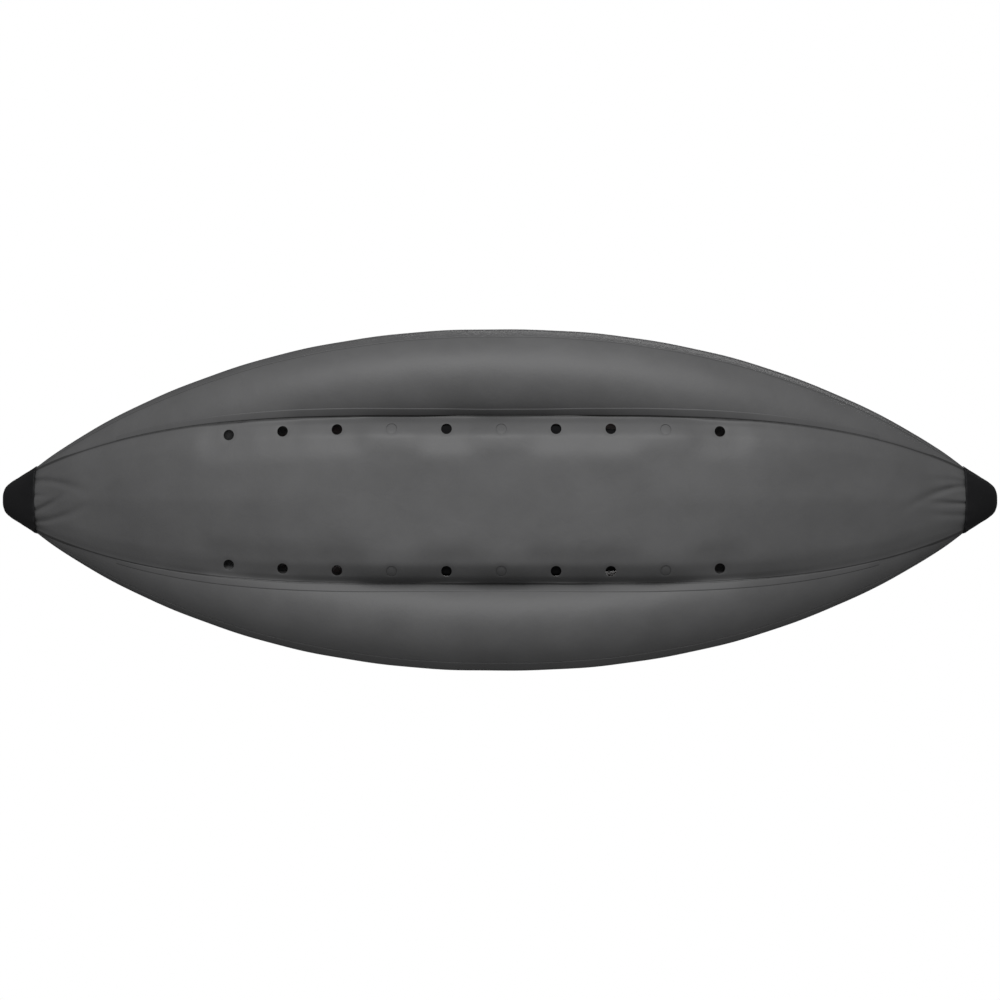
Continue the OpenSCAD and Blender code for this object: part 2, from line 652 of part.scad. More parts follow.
// ---- D-rings: the pivot is across the tube, under a webbing tunnel ----
fore_ring_x = 760;
middle_ring_x = 260;
aft_ring_x = -700;
ring_a = 200;
deck_ring_x = deck_from + 60;
patch_r = 40;
ring_r = ring_wire / 2;
patch_wall = 1.5;
ring_pivot = patch_wall + ring_r + 1;
ring_rest = 12; // the ring's rest angle above the patch
tunnel_length = ring_width - 12;
tunnel_wall = 1.6;
module ring_patch() {
    cylinder(r = patch_r, h = patch_wall);
    difference() {
        translate([0, 0, ring_pivot]) rotate([90, 0, 0])
            cylinder(r = ring_r + slack + tunnel_wall, h = tunnel_length, center = true);
        translate([0, 0, ring_pivot]) rotate([90, 0, 0])
            cylinder(r = ring_r + slack, h = tunnel_length + 2, center = true);
        translate([-20, -30, -5]) cube([40, 60, 5]);
    }
    for (s = [-1, 1]) translate([s * 13, 0, patch_wall + 0.5])
        cube([18, tunnel_length, 1.4], center = true);
}
ring_half = ring_width / 2 + ring_r;
ring_leg = 8;
ring_reach = ring_leg + ring_half;
// The ring swings from lying forward, over the top, to lying aft
module d_ring(angle = ring_rest) {
    color("silver") translate([0, 0, ring_pivot]) rotate([0, -angle, 0]) {
        rotate([90, 0, 0]) cylinder(r = ring_r, h = 2 * ring_half, center = true);
        for (s = [-1, 1]) translate([0, s * ring_half, 0]) {
            sphere(r = ring_r);
            rotate([0, 90, 0]) cylinder(r = ring_r, h = ring_leg);
        }
        translate([ring_leg, 0, 0]) rotate(-90) rotate_extrude(angle = 180)
            translate([ring_half, 0]) circle(r = ring_r);
    }
}
deck_ring_slope = atan((deck_top(deck_ring_x + 20) - deck_top(deck_ring_x - 20)) / 40);
module on_deck() {
    translate([deck_ring_x, 0, deck_top(deck_ring_x) + anchor_seat])
        rotate([0, -deck_ring_slope, 0]) children();
}
module d_ring_patches() {
    color([0.15, 0.15, 0.16]) {
        both_sides() for (x = [fore_ring_x, middle_ring_x, aft_ring_x]) on_tube(x, ring_a) ring_patch();
        on_deck() ring_patch();
        stern() on_deck() ring_patch();
    }
}

// ---- Seat ----
seat_front = 70;
seat_rear = seat_front - seat_length;
seat_floor = insert_lift(0) + insert_thickness + fit + 2;
hinge_y_length = seat_width - 40;
hinge_bead_r = 2;
back_pivot = [seat_rear - 3, 0, seat_floor + seat_thickness - 0.1 + hinge_bead_r];
pad_power = 5;
pad_sides = 24;
function pad_loop(half, thick, round) = [for (i = [0:pad_sides - 1]) let (a = 360 * i / pad_sides)
    [half * sign(cos(a)) * pow(abs(cos(a)), 2 / round),
        thick * sign(sin(a)) * pow(abs(sin(a)), 2 / round)]];
pad_shares = [-1, -0.97, -0.9, -0.75, -0.4, 0, 0.4, 0.75, 0.9, 0.97, 1];
// A cushion with rounded edges: length along X from 0, width along Y, thickness along Z from 0
module cushion(length, width, thick) {
    loft([for (s = pad_shares) let (
            edge = pow(1 - pow(abs(s), 8), 0.5),
            loop = pad_loop(width / 2 * (0.9 + 0.1 * edge), thick / 2 * (0.35 + 0.65 * edge), pad_power)
        ) [for (p = loop) [length * (1 + s) / 2, p[0], thick / 2 + p[1]]]]);
}
module seat_base() {
    color("black") translate([seat_rear, 0, seat_floor]) cushion(seat_length, seat_width, seat_thickness);
}
module in_back() {
    translate(back_pivot) rotate([0, -90 - back_recline, 0])
        translate([hinge_bead_r + fitting_lift, 0, back_thickness / 2]) children();
}
module seat_back() {
    color("black") in_back() translate([0, 0, -back_thickness / 2]) {
        cushion(back_height, seat_width, back_thickness);
        translate([0, -hinge_y_length / 2, 0.5]) cube([60, hinge_y_length, hinge_flap]);
    }
}
hinge_flap = 1.6;
module seat_hinge() {
    color([0.2, 0.2, 0.2]) translate([back_pivot[0], hinge_y_length / 2, back_pivot[2]])
        rotate([90, 0, 0]) {
        cylinder(r = hinge_bead_r, h = hinge_y_length);
        translate([0, -hinge_bead_r, 0]) cube([50, hinge_flap, hinge_y_length]);
    }
}
buckle_up = 0.62; // height of the strap buckles as a share of the backrest
buckle_local = [back_height * buckle_up, seat_width / 2 + fit, 0];
module seat_back_buckles() {
    color([0.1, 0.1, 0.1]) both_sides() in_back() translate(buckle_local) {
        difference() {
            translate([-18, 0, -14]) cube([36, buckle_wall, 28]);
            for (z = [-9, 5]) translate([-strap_width / 2 - 1, -1, z])
                cube([strap_width + 2, buckle_wall + 2, 4]);
        }
    }
}
buckle_wall = 4;
buckle_reach = hinge_bead_r + fitting_lift + buckle_local[0];
buckle_at = back_pivot + [-buckle_reach * sin(back_recline) - back_thickness / 2 * cos(back_recline),
    buckle_local[1] + buckle_wall,
    buckle_reach * cos(back_recline) - back_thickness / 2 * sin(back_recline)];
strap_thickness = 1.6;
// The hook holds the far side of the middle ring, which the strap pulls aft
hook_jaw_r = ring_r + 3;
hook_length = 26;
function past_ring(reach) = [-(ring_reach + reach) * cos(ring_rest), 0,
    ring_pivot + (ring_reach + reach) * sin(ring_rest)];
module strap_end(p) {
    translate(p) cube([1, strap_thickness, strap_width], center = true);
}
module seat_strap() {
    color([0.2, 0.2, 0.2]) hull() {
        strap_end(buckle_at + [18, 1.5, 0]);
        strap_end(in_tube_frame(middle_ring_x, ring_a, past_ring(hook_length + 2.3)));
    }
}
module strap_hook() {
    on_tube(middle_ring_x, ring_a) translate(past_ring(0)) rotate([90, ring_rest, 0]) difference() {
        union() {
            cylinder(r = hook_jaw_r, h = 6, center = true);
            translate([-hook_length / 2, 0, 0]) cube([hook_length - 6, 8, 5], center = true);
            translate([-hook_length + 4, 0, 0]) cube([8, strap_width + 6, 5], center = true);
        }
        cylinder(r = ring_r + fit, h = 8, center = true);
        translate([-hook_length + 4, 0, 0]) cube([2.4, strap_width, 7], center = true);
    }
}
module strap_hooks() {
    color([0.1, 0.1, 0.1]) both_sides() strap_hook();
}

tube_lower_panel();  // port_tube_lower_panel
tube_upper_panel();  // port_tube_upper_panel
starboard() tube_lower_panel();  // starboard_tube_lower_panel
starboard() tube_upper_panel();  // starboard_tube_upper_panel
tube_bladder();  // port_tube_bladder
starboard() tube_bladder();  // starboard_tube_bladder
floor_bottom_skin();
floor_insert();
floor_tabs();
end_cap();  // bow_cap
stern() end_cap();  // stern_cap
end_deck();  // bow_deck
stern() end_deck();  // stern_deck
rub_strake();  // port_rub_strake
starboard() rub_strake();  // starboard_rub_strake
floor_tape();  // port_floor_tape
starboard() floor_tape();  // starboard_floor_tape
tube_zip();  // port_zip
starboard() tube_zip();  // starboard_zip
zip_slider();  // port_zip_slider
starboard() zip_slider();  // starboard_zip_slider
valve_bases();
valve_gaskets();
at_tube_valve() valve_body();  // port_valve_body
starboard() at_tube_valve() valve_body();  // starboard_valve_body
on_floor() valve_body();  // floor_valve_body
at_tube_valve() valve_poppet();  // port_valve_poppet
starboard() at_tube_valve() valve_poppet();  // starboard_valve_poppet
on_floor() valve_poppet();  // floor_valve_poppet
at_tube_valve() valve_spring();  // port_valve_spring
starboard() at_tube_valve() valve_spring();  // starboard_valve_spring
on_floor() valve_spring();  // floor_valve_spring
at_tube_valve() valve_cap();  // port_valve_cap
starboard() at_tube_valve() valve_cap();  // starboard_valve_cap
on_floor() valve_cap();  // floor_valve_cap
handle_anchor();  // bow_handle_anchor
stern() handle_anchor();  // stern_handle_anchor
handle_webbing();  // bow_handle_webbing
stern() handle_webbing();  // stern_handle_webbing
handle_grip();  // bow_handle_grip
stern() handle_grip();  // stern_handle_grip
d_ring_patches();
on_tube(fore_ring_x, ring_a) d_ring();  // port_fore_d_ring
on_tube(middle_ring_x, ring_a) d_ring(180 - ring_rest);  // port_middle_d_ring
on_tube(aft_ring_x, ring_a) d_ring();  // port_aft_d_ring
starboard() on_tube(fore_ring_x, ring_a) d_ring();  // starboard_fore_d_ring
starboard() on_tube(middle_ring_x, ring_a) d_ring(180 - ring_rest);  // starboard_middle_d_ring
starboard() on_tube(aft_ring_x, ring_a) d_ring();  // starboard_aft_d_ring
on_deck() d_ring();  // bow_d_ring
stern() on_deck() d_ring();  // stern_d_ring
seat_base();
seat_back();
seat_hinge();
seat_strap();  // port_seat_strap
starboard() seat_strap();  // starboard_seat_strap
seat_back_buckles();
strap_hooks();
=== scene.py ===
import json
import math

import bpy
import numpy as np
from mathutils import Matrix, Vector

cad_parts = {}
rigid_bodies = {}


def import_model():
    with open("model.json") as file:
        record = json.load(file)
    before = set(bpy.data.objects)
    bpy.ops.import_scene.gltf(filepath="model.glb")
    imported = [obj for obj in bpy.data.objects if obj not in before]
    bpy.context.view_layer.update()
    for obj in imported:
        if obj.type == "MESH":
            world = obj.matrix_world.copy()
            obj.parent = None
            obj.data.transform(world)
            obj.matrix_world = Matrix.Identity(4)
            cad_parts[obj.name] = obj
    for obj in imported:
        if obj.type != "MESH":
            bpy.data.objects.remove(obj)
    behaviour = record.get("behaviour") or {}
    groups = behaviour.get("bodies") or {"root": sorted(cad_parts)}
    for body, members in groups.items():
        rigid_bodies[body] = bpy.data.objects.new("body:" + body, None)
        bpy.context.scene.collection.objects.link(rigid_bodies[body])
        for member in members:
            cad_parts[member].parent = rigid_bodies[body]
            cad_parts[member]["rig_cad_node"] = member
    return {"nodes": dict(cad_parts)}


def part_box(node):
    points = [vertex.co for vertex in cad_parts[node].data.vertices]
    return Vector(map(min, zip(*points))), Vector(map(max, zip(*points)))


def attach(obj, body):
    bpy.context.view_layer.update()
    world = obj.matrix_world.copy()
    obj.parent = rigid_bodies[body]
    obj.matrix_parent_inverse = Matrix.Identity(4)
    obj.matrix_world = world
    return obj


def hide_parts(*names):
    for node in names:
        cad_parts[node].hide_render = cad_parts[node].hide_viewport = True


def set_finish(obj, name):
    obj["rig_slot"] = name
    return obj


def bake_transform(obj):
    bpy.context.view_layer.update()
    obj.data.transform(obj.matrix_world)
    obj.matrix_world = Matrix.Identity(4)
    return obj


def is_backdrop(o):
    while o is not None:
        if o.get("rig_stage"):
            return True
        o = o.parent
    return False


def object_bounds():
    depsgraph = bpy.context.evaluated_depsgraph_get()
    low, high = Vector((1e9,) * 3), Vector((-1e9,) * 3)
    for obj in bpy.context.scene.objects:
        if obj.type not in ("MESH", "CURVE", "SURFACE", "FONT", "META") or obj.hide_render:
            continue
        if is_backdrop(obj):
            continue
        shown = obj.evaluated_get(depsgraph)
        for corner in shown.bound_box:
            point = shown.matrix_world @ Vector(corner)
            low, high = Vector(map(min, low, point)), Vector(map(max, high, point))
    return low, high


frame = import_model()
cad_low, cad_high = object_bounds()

# ---- Camera: straight under the middle of the boat, looking up ----
distance = 8.5
camera = bpy.data.objects.new("camera", bpy.data.cameras.new("camera"))
bpy.context.scene.collection.objects.link(camera)
camera.location = ((cad_low[0] + cad_high[0]) / 2, 0, -distance)
camera.rotation_euler = (math.pi, 0, 0)
camera.data.sensor_width = 36
camera.data.lens = 108.6
camera.data.clip_end = 60
bpy.context.scene.camera = camera
bpy.context.scene.view_settings.view_transform = "Standard"


# ---- Reading the frame ----
def outer_points(node, faces_out):
    """The node's points on the faces that faces_out(centres, normals) picks, each once."""
    mesh = frame["nodes"][node].data
    centres = np.array([p.center for p in mesh.polygons])
    normals = np.array([p.normal for p in mesh.polygons])
    keep = np.flatnonzero(faces_out(centres, normals))
    used = sorted({v for i in keep for v in mesh.polygons[i].vertices})
    co = np.array([mesh.vertices[v].co for v in used])
    return np.unique(np.round(co, 5), axis=0)


def by_station(points, least):
    """Points grouped by x, as {x: points}, for the groups with enough points."""
    keys = np.round(points[:, 0], 4)
    groups = {x: points[keys == x] for x in np.unique(keys)}
    return {x: g for x, g in groups.items() if len(g) >= least}


def spline(xs, ys, at):
    """A smooth curve through ys at xs, read at the places at. ys may have columns."""
    xs, ys = np.asarray(xs, float), np.asarray(ys, float)
    flat = ys.ndim == 1
    ys = ys.reshape(len(xs), -1)
    at = np.clip(np.asarray(at, float), xs[0], xs[-1])
    h = np.diff(xs)
    slope = np.diff(ys, axis=0) / h[:, None]
    m = np.empty_like(ys)
    m[1:-1] = (slope[:-1] * h[1:, None] + slope[1:] * h[:-1, None]) / (h[1:] + h[:-1])[:, None]
    m[0] = 1.5 * slope[0] - 0.5 * m[1]
    m[-1] = 1.5 * slope[-1] - 0.5 * m[-2]
    i = np.clip(np.searchsorted(xs, at, side="right") - 1, 0, len(xs) - 2)
    t = ((at - xs[i]) / h[i])[:, None]
    hi = h[i][:, None]
    out = ((1 + 2 * t) * (1 - t) ** 2 * ys[i] + t * (1 - t) ** 2 * hi * m[i]
           + t * t * (3 - 2 * t) * ys[i + 1] + t * t * (t - 1) * hi * m[i + 1])
    return out[:, 0] if flat else out


def circle(p):
    """Centre and radius of the circle through points in y and z."""
    a = np.c_[2 * p, np.ones(len(p))]
    c = np.linalg.lstsq(a, (p ** 2).sum(1), rcond=None)[0]
    return np.array([c[0], c[1], math.sqrt(c[2] + c[0] ** 2 + c[1] ** 2)])


def tube_sections():
    """Each station of the port tube: its x, and its circle's centre y, centre z and radius."""
    mesh = frame["nodes"]["port_tube_lower_panel"].data
    co = np.unique(np.round(np.array([v.co for v in mesh.vertices]), 5), axis=0)
    xs, rows = [], []
    for x, g in by_station(co, 20).items():
        p = g[:, 1:]
        for _ in range(3):
            c = circle(p)
            far = np.hypot(g[:, 1] - c[0], g[:, 2] - c[1])
            p = g[far > (far.max() + far.min()) / 2, 1:]
        xs.append(x)
        rows.append(circle(p))
    return np.array(xs), np.array(rows)


end_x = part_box("floor_bottom_skin")[1][0]
tube_x, tube_rows = tube_sections()
inside = np.abs(tube_x) <= end_x + 0.0005


def tube(x):
    """Centre y, centre z and radius of the port tube at x."""
    x = np.asarray(x, float)
    smooth = spline(tube_x[inside], tube_rows[inside], x)
    straight = np.column_stack([np.interp(x, tube_x, tube_rows[:, k]) for k in range(3)])
    return np.where((np.abs(x) > end_x)[:, None], straight, smooth)


def tube_angle(x, y, z):
    """Angle round the port tube from straight down, positive outboard, of a point beside it."""
    c = tube(x)
    return np.arctan2(np.abs(y) - c[:, 0], c[:, 1] - z)


# ---- Making meshes ----
def new_object(name, verts, faces, uv=None, body="hull"):
    """A smooth mesh that rides a body, or nothing where body is None."""
    mesh = bpy.data.meshes.new(name)
    mesh.from_pydata([tuple(v) for v in verts], [], faces)
    mesh.validate()
    mesh.polygons.foreach_set("use_smooth", [True] * len(mesh.polygons))
    if uv is not None:
        layer = mesh.uv_layers.new(name="fabric")
        loop_verts = np.empty(len(mesh.loops), int)
        mesh.loops.foreach_get("vertex_index", loop_verts)
        layer.data.foreach_set("uv", np.asarray(uv, float)[loop_verts].reshape(-1))
    mesh.update()
    obj = bpy.data.objects.new(name, mesh)
    bpy.context.scene.collection.objects.link(obj)
    if body:
        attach(obj, body)
    return obj


def store_painted_shade(obj, values):
    """A number at each point, from 0 to 1, that the cloth's material reads as painted shade: it darkens
    the colour there.
    """
    layer = obj.data.attributes.new("painted_shade", "FLOAT", "POINT")
    layer.data.foreach_set("value", np.asarray(values, np.float32).ravel())


def grid_faces(rows, cols, around=False, flip=False):
    """The faces of a grid of points; around joins each row's last point to its first."""
    faces = []
    for i in range(rows - 1):
        for j in range(cols if around else cols - 1):
            k = (j + 1) % cols
            f = (i * cols + j, (i + 1) * cols + j, (i + 1) * cols + k, i * cols + k)
            faces.append(f[::-1] if flip else f)
    return faces


def grid_uv(p):
    """Metres along and across a grid of points, so that a weave keeps its size."""
    rows, cols = p.shape[:2]
    across = np.zeros((rows, cols))
    across[:, 1:] = np.cumsum(np.linalg.norm(np.diff(p, axis=1), axis=2), axis=1)
    across -= across[:, cols // 2][:, None]
    along = np.zeros((rows, cols))
    step = np.linalg.norm(np.diff(p[:, cols // 2], axis=0), axis=1)
    along[1:] = np.cumsum(step)[:, None]
    return np.dstack([along, across]).reshape(-1, 2)


def grid_object(name, p, body="hull", flip=False, around=False):
    """A mesh of a grid of points."""
    rows, cols = p.shape[:2]
    return new_object(name, p.reshape(-1, 3), grid_faces(rows, cols, around, flip), grid_uv(p), body)


def bump(t, width):
    """A smooth hill, 1 high at t = 0."""
    return np.exp(-(t / width) ** 2)


# ---- Tubes ----
under_caps = np.sort(tube_x[tube_x > end_x + 0.0005])
long_x = np.concatenate([-under_caps[::-1], np.linspace(-end_x, end_x, 561), under_caps])
gather_at = np.radians([-44, -21, 6, 27, 49, 71, 108, 140, 171, 204, 236, 262])
gather_limit = 0.0012  # deeper than this, the bladder would show through


def gathers(x, a, side):
    """Creases in the tube fabric that run out from the end caps."""
    from_cap = np.maximum(0, end_x - np.abs(x))
    total = np.zeros(np.broadcast(x, a).shape)
    cover = np.where(np.abs(x) > end_x, 0.3, 1)
    for i, at in enumerate(gather_at):
        reach = 0.045 + 0.05 * (((i * 5 + (3 if side > 0 else 0)) % 7) / 6)
        depth = 0.0055 - 0.002 * ((i * 3) % 4) / 3
        shift = 0.05 * math.sin(1.7 * i + side) + 0.1 * np.sign(x) * math.sin(i)
        width = 0.085 + 0.10 * from_cap / 0.2
        total -= depth * bump(a - at - shift, width) * np.exp(-(from_cap / reach) ** 1.5) * cover
    return gather_limit * np.tanh(total / (gather_limit * 4 / 3))


def softness(x, a):
    """The slight unevenness of inflated fabric."""
    return 0.0007 * np.sin(9 * x + 2 * a) * np.sin(5.3 * x - 3 * a + 1) + 0.0004 * np.sin(31 * x + 4 * a)


def tube_grid(side, x, a, out):
    """x and a are grids; out is how far the surface stands out of the tube."""
    c = tube(x[:, 0])
    y, z, r = (c[:, k][:, None] for k in range(3))
    away = r + out
    return np.dstack([x, side * (y + away * np.sin(a)), z - away * np.cos(a)])


def angles_of(node):
    """Each station's lowest and highest angle of a node that lies on a tube."""
    mesh = frame["nodes"][node].data
    co = np.unique(np.round(np.array([v.co for v in mesh.vertices]), 5), axis=0)
    xs, rows = [], []
    for x, g in by_station(co, 4).items():
        a = tube_angle(g[:, 0], g[:, 1], g[:, 2])
        a = np.where(a < math.radians(-75), a + 2 * math.pi, a)
        xs.append(x)
        rows.append([a.min(), a.max()])
    return np.array(xs), np.array(rows)


skin_points = outer_points("floor_bottom_skin", lambda c, n: n[:, 2] < -0.15)
skin_stations = by_station(skin_points, 12)
skin_x = np.array(sorted(skin_stations))
skin_halves = np.array([np.abs(skin_stations[x][:, 1]).max() for x in skin_x])
share_lines = np.array([0, 0.15, 0.3, 0.4, 0.5, 0.6, 0.7, 0.78, 0.85, 0.9, 0.93, 0.96, 0.98, 0.99, 1])
skin_rows = []
for x, half in zip(skin_x, skin_halves):
    g = skin_stations[x]
    g = g[g[:, 1] >= -1e-4]
    g = g[np.argsort(g[:, 1])]
    skin_rows.append(np.interp(share_lines * half, g[:, 1], g[:, 2]))
skin_rows = np.array(skin_rows)
fine_lines = np.linspace(0, 1, 161)
skin_rows = spline(share_lines, skin_rows.T, fine_lines).T
share_lines = fine_lines


def painted_shade(a):
    """How near each point at angles a is to the floor's edge, from 0 to 1, used as painted shade in the
    crease where the tube meets the floor.
    """
    c = tube(long_x)
    half = spline(skin_x, skin_halves, long_x)
    edge = np.arcsin(np.clip((half - c[:, 0]) / c[:, 2], -1, 1))
    off = (a - edge[:, None]) * c[:, 2:3]
    return np.exp(-np.maximum(0, off) / 0.0025) * (off > -0.02)


sides = ((1, "port"), (-1, "starboard"))
seam_low, seam_high = math.radians(-68), math.radians(90)
overlap_drop = 0.0004  # the upper fabric's edge goes under the lower fabric's
tube_parts = (("lower", seam_low, seam_high, 60, "tube_fabric_grey"),
              ("upper", seam_high, seam_low + 2 * math.pi, 72, "tube_fabric_red"))
for side, word in sides:
    for part, low, high, count, slot in tube_parts:
        a = np.linspace(low, high, count)[None, :] + 0 * long_x[:, None]
        x = long_x[:, None] + 0 * a
        out = gathers(x, a, side) + softness(x, a)
        if part == "upper":
            out = out - overlap_drop
        panel = grid_object(f"{word}_{part}_fabric", tube_grid(side, x, a, out), flip=side < 0)
        # The lower fabric gets painted shade along the floor's edge; the upper fabric gets none.
        store_painted_shade(panel, painted_shade(a) if part == "lower" else 0 * a)
        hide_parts(f"{word}_tube_{part}_panel")
        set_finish(panel, slot)


def band(name, node, side, wall, steps):
    """A tape or strake glued along a tube, with edges that come down to the fabric."""
    lift, buried = 0.0002, 0.0015
    xs, rows = angles_of(node)
    x = np.linspace(xs[0], xs[-1], 420)
    rows = spline(xs, rows, x)
    s = np.concatenate([[0, 0], np.linspace(0, 1, steps), [1, 1]])
    edge = np.concatenate([[-buried, 0.4 * wall], np.full(steps, wall), [0.4 * wall, -buried]])
    a = rows[:, :1] + (rows[:, 1:] - rows[:, :1]) * s[None, :]
    grid_x = x[:, None] + 0 * a
    out = lift + edge[None, :] + gathers(grid_x, a, side) + softness(grid_x, a)
    obj = grid_object(name, tube_grid(side, grid_x, a, out), flip=side < 0)
    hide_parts(node)
    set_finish(obj, "seam_tape_grey")
    store_painted_shade(obj, 0 * a)


for side, word in sides:
    band(f"{word}_strake_fabric", f"{word}_rub_strake", side, 0.0009, 14)
    band(f"{word}_tape_fabric", f"{word}_floor_tape", side, 0.0003, 8)


# ---- Floor skin ----
def skin_half(x):
    return spline(skin_x, skin_halves, x)


# The drain holes, read from the frame: the rim points are the ones off the stations
rim = skin_points[~np.isin(np.round(skin_points[:, 0], 4), np.round(skin_x, 4))]
rim = rim[np.argsort(rim[:, 0])]
hole_xs = []
for group in np.split(rim, np.flatnonzero(np.diff(rim[:, 0]) > 0.05) + 1):
    hole_xs.append((group[:, 0].min() + group[:, 0].max()) / 2)
hole_r = (rim[rim[:, 0] < hole_xs[0] + 0.03][:, 0].max() - rim[:, 0].min()) / 2
first = rim[(np.abs(rim[:, 0] - hole_xs[0]) < 0.03) & (rim[:, 1] > 0)]
hole_inset = skin_half([hole_xs[0]])[0] - (first[:, 1].min() + first[:, 1].max()) / 2
tab_mesh = frame["nodes"]["floor_tabs"].data
tab_xs = np.unique(np.round([v.co[0] for v in tab_mesh.vertices], 3))


def tab_span(x):
    """The places along the boat of the tab points at a hole, if there are any."""
    return tab_xs[np.abs(tab_xs - x) < 0.05]


covered = [i for i, x in enumerate(hole_xs) if len(tab_span(x)) >= 2]


# Creases out from the end caps: end, share of the half-width, drift per metre, length, depth
end_creases = [
    (-1, -0.66, 2.9, 0.135, 0.0078), (-1, 0.36, -5.0, 0.085, 0.0085), (-1, 0.72, -3.6, 0.15, 0.0078),
    (-1, -0.9, 0.8, 0.05, 0.0030), (-1, -0.15, 0.6, 0.035, 0.0030), (-1, 0.9, -0.9, 0.05, 0.0026),
    (1, -0.48, 3.2, 0.155, 0.0090), (1, -0.62, 1.4, 0.11, 0.0050), (1, 0.12, -0.6, 0.13, 0.0068),
    (1, 0.5, -1.6, 0.10, 0.0050), (1, -0.86, 0.8, 0.06, 0.0030), (1, 0.84, -0.9, 0.06, 0.0026),
]


edge_roundness = 10
dent_height, dent_length, dent_width = 0.0095, 0.078, 0.072


def skin_z(x, y):
    """Height of the floor's underside, with the pull of the drain holes and the gathers at the ends."""
    x, y = np.asarray(x, float).ravel(), np.asarray(y, float).ravel()
    half = skin_half(x)
    s = np.clip(np.abs(y) / half, 0, 1)
    s = np.sqrt(s ** 2 + 0.004 * (1 - s) ** 2)
    columns = spline(skin_x, skin_rows, x)
    j = np.clip(np.searchsorted(share_lines, s, side="right") - 1, 0, len(share_lines) - 2)
    t = (s - share_lines[j]) / (share_lines[j + 1] - share_lines[j])
    rows = np.arange(len(x))
    z = columns[rows, j] * (1 - t) + columns[rows, j + 1] * t
    z = z + (columns[:, -1] - z) * s ** edge_roundness
    inboard = 1 - s ** 14
    pull = np.zeros(len(x))
    for i, at in enumerate(hole_xs):
        d = half - np.abs(y)
        if i in covered:
            pull -= 0.003 * bump(x - at, 0.05) * bump(d - 0.04, 0.05)
        else:
            across = d - hole_inset + 0.01
            pull += dent_height * np.exp(-((x - at) / dent_length) ** 4 - (across / dent_width) ** 4)
        pull += 0.0012 * bump(np.hypot(x - at, d - hole_inset) - hole_r, 0.006)
    from_cap = np.maximum(0, end_x - np.abs(x))
    creases = np.zeros(len(x))
    signed = y / half
    for way, at, slope, reach, depth in end_creases:
        line = bump(signed - at - slope * from_cap, 0.07 + 0.2 * from_cap)
        creases += (x * way > 0) * depth * line * np.exp(-(from_cap / reach) ** 3)
    ripple = 0.0005 * np.sin(17 * x + 21 * y) * np.sin(23 * y - 6 * x + 2)
    return z + pull * inboard + (creases + ripple) * inboard


def skin_point(x, y):
    x, y = np.broadcast_arrays(np.asarray(x, float), np.asarray(y, float))
    return np.dstack([x, y, skin_z(x, y).reshape(x.shape)])


def floor_fabric():
    """The skin as a grid with rings of points round every drain hole."""
    block, cells = 0.030, 12  # half the square cut out of the grid at a hole, and its cells a side
    tuck = 0.006  # the skin's edge goes on behind the tube's fabric
    xs = [np.linspace(-end_x, hole_xs[0] - block, 90)]
    for i, at in enumerate(hole_xs):
        last_hole = i + 1 == len(hole_xs)
        after = end_x if last_hole else hole_xs[i + 1] - block
        xs.append(np.linspace(at - block, at + block, cells + 1))
        xs.append(np.linspace(at + block, after, 90 if last_hole else 16))
    x = np.unique(np.round(np.concatenate(xs), 6))
    rim_offsets = [-tuck, 0, 0.0015, 0.003]
    edge = np.concatenate([rim_offsets, hole_inset + np.linspace(-block, block, cells + 1)])
    middle = np.linspace(0, 1, 24)[1:]
    half = skin_half(x)[:, None]
    inner = half - edge[-1]
    side = np.concatenate([half - edge[None, :], inner * (1 - middle[None, :])], axis=1)
    y = np.concatenate([side, -side[:, ::-1][:, 1:]], axis=1)
    p = skin_point(x[:, None], y)
    p[:, [0, -1], 2] += tuck
    rows, cols = y.shape
    verts = list(p.reshape(-1, 3))
    faces = []
    near, far = len(rim_offsets), cols - len(rim_offsets) - cells - 1
    blocks = {}
    for at in hole_xs:
        i0 = int(np.argmin(np.abs(x - (at - block))))
        blocks[(i0, near)] = (at, 1)
        blocks[(i0, far)] = (at, -1)
    taken = {(i + di, j + dj) for (i, j) in blocks for di in range(cells) for dj in range(cells)}
    for i in range(rows - 1):
        for j in range(cols - 1):
            if (i, j) not in taken:
                faces.append((i * cols + j, i * cols + j + 1, (i + 1) * cols + j + 1, (i + 1) * cols + j))

    def add_ring(last, ring, lift):
        """Adds a ring of points inside the last one and joins the two."""
        new = list(range(len(verts), len(verts) + len(last)))
        verts.extend(np.column_stack([ring, skin_z(ring[:, 0], ring[:, 1]) + lift]))
        for k in range(len(last)):
            n = (k + 1) % len(last)
            faces.append((last[k], new[k], new[n], last[n]))
        return new

    for (i0, j0), (at, sign) in blocks.items():
        steps = range(cells)
        loop = ([(i0 + k, j0) for k in steps] + [(i0 + cells, j0 + k) for k in steps]
                + [(i0 + cells - k, j0 + cells) for k in steps] + [(i0, j0 + cells - k) for k in steps])
        ids = [i * cols + j for i, j in loop]
        square = np.array([verts[v][:2] for v in ids])
        centre = np.array([at, sign * (skin_half([at])[0] - hole_inset)])
        turn = square - centre
        onto = centre + turn / np.linalg.norm(turn, axis=1)[:, None] * hole_r
        for u in (0.3, 0.55, 0.75, 0.88, 0.96, 1):
            ids = add_ring(ids, square * (1 - u) + onto * u, 0)
        # The cut edge turns up into the boat
        for lift, pull_in in ((0.0008, 0.0006), (0.0022, 0.0004)):
            ids = add_ring(ids, centre + (onto - centre) * (1 - pull_in / hole_r), lift)
    verts = np.array(verts)
    obj = new_object("floor_fabric", verts, faces, verts[:, :2])
    # Painted shade: a thin dark line along the skin's edge, where it meets the tube.
    off = skin_half(verts[:, 0]) - np.abs(verts[:, 1])
    store_painted_shade(obj, np.exp(-np.maximum(0, off) / 0.0015))
    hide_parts("floor_bottom_skin")
    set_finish(obj, "tube_fabric_grey")


floor_fabric()


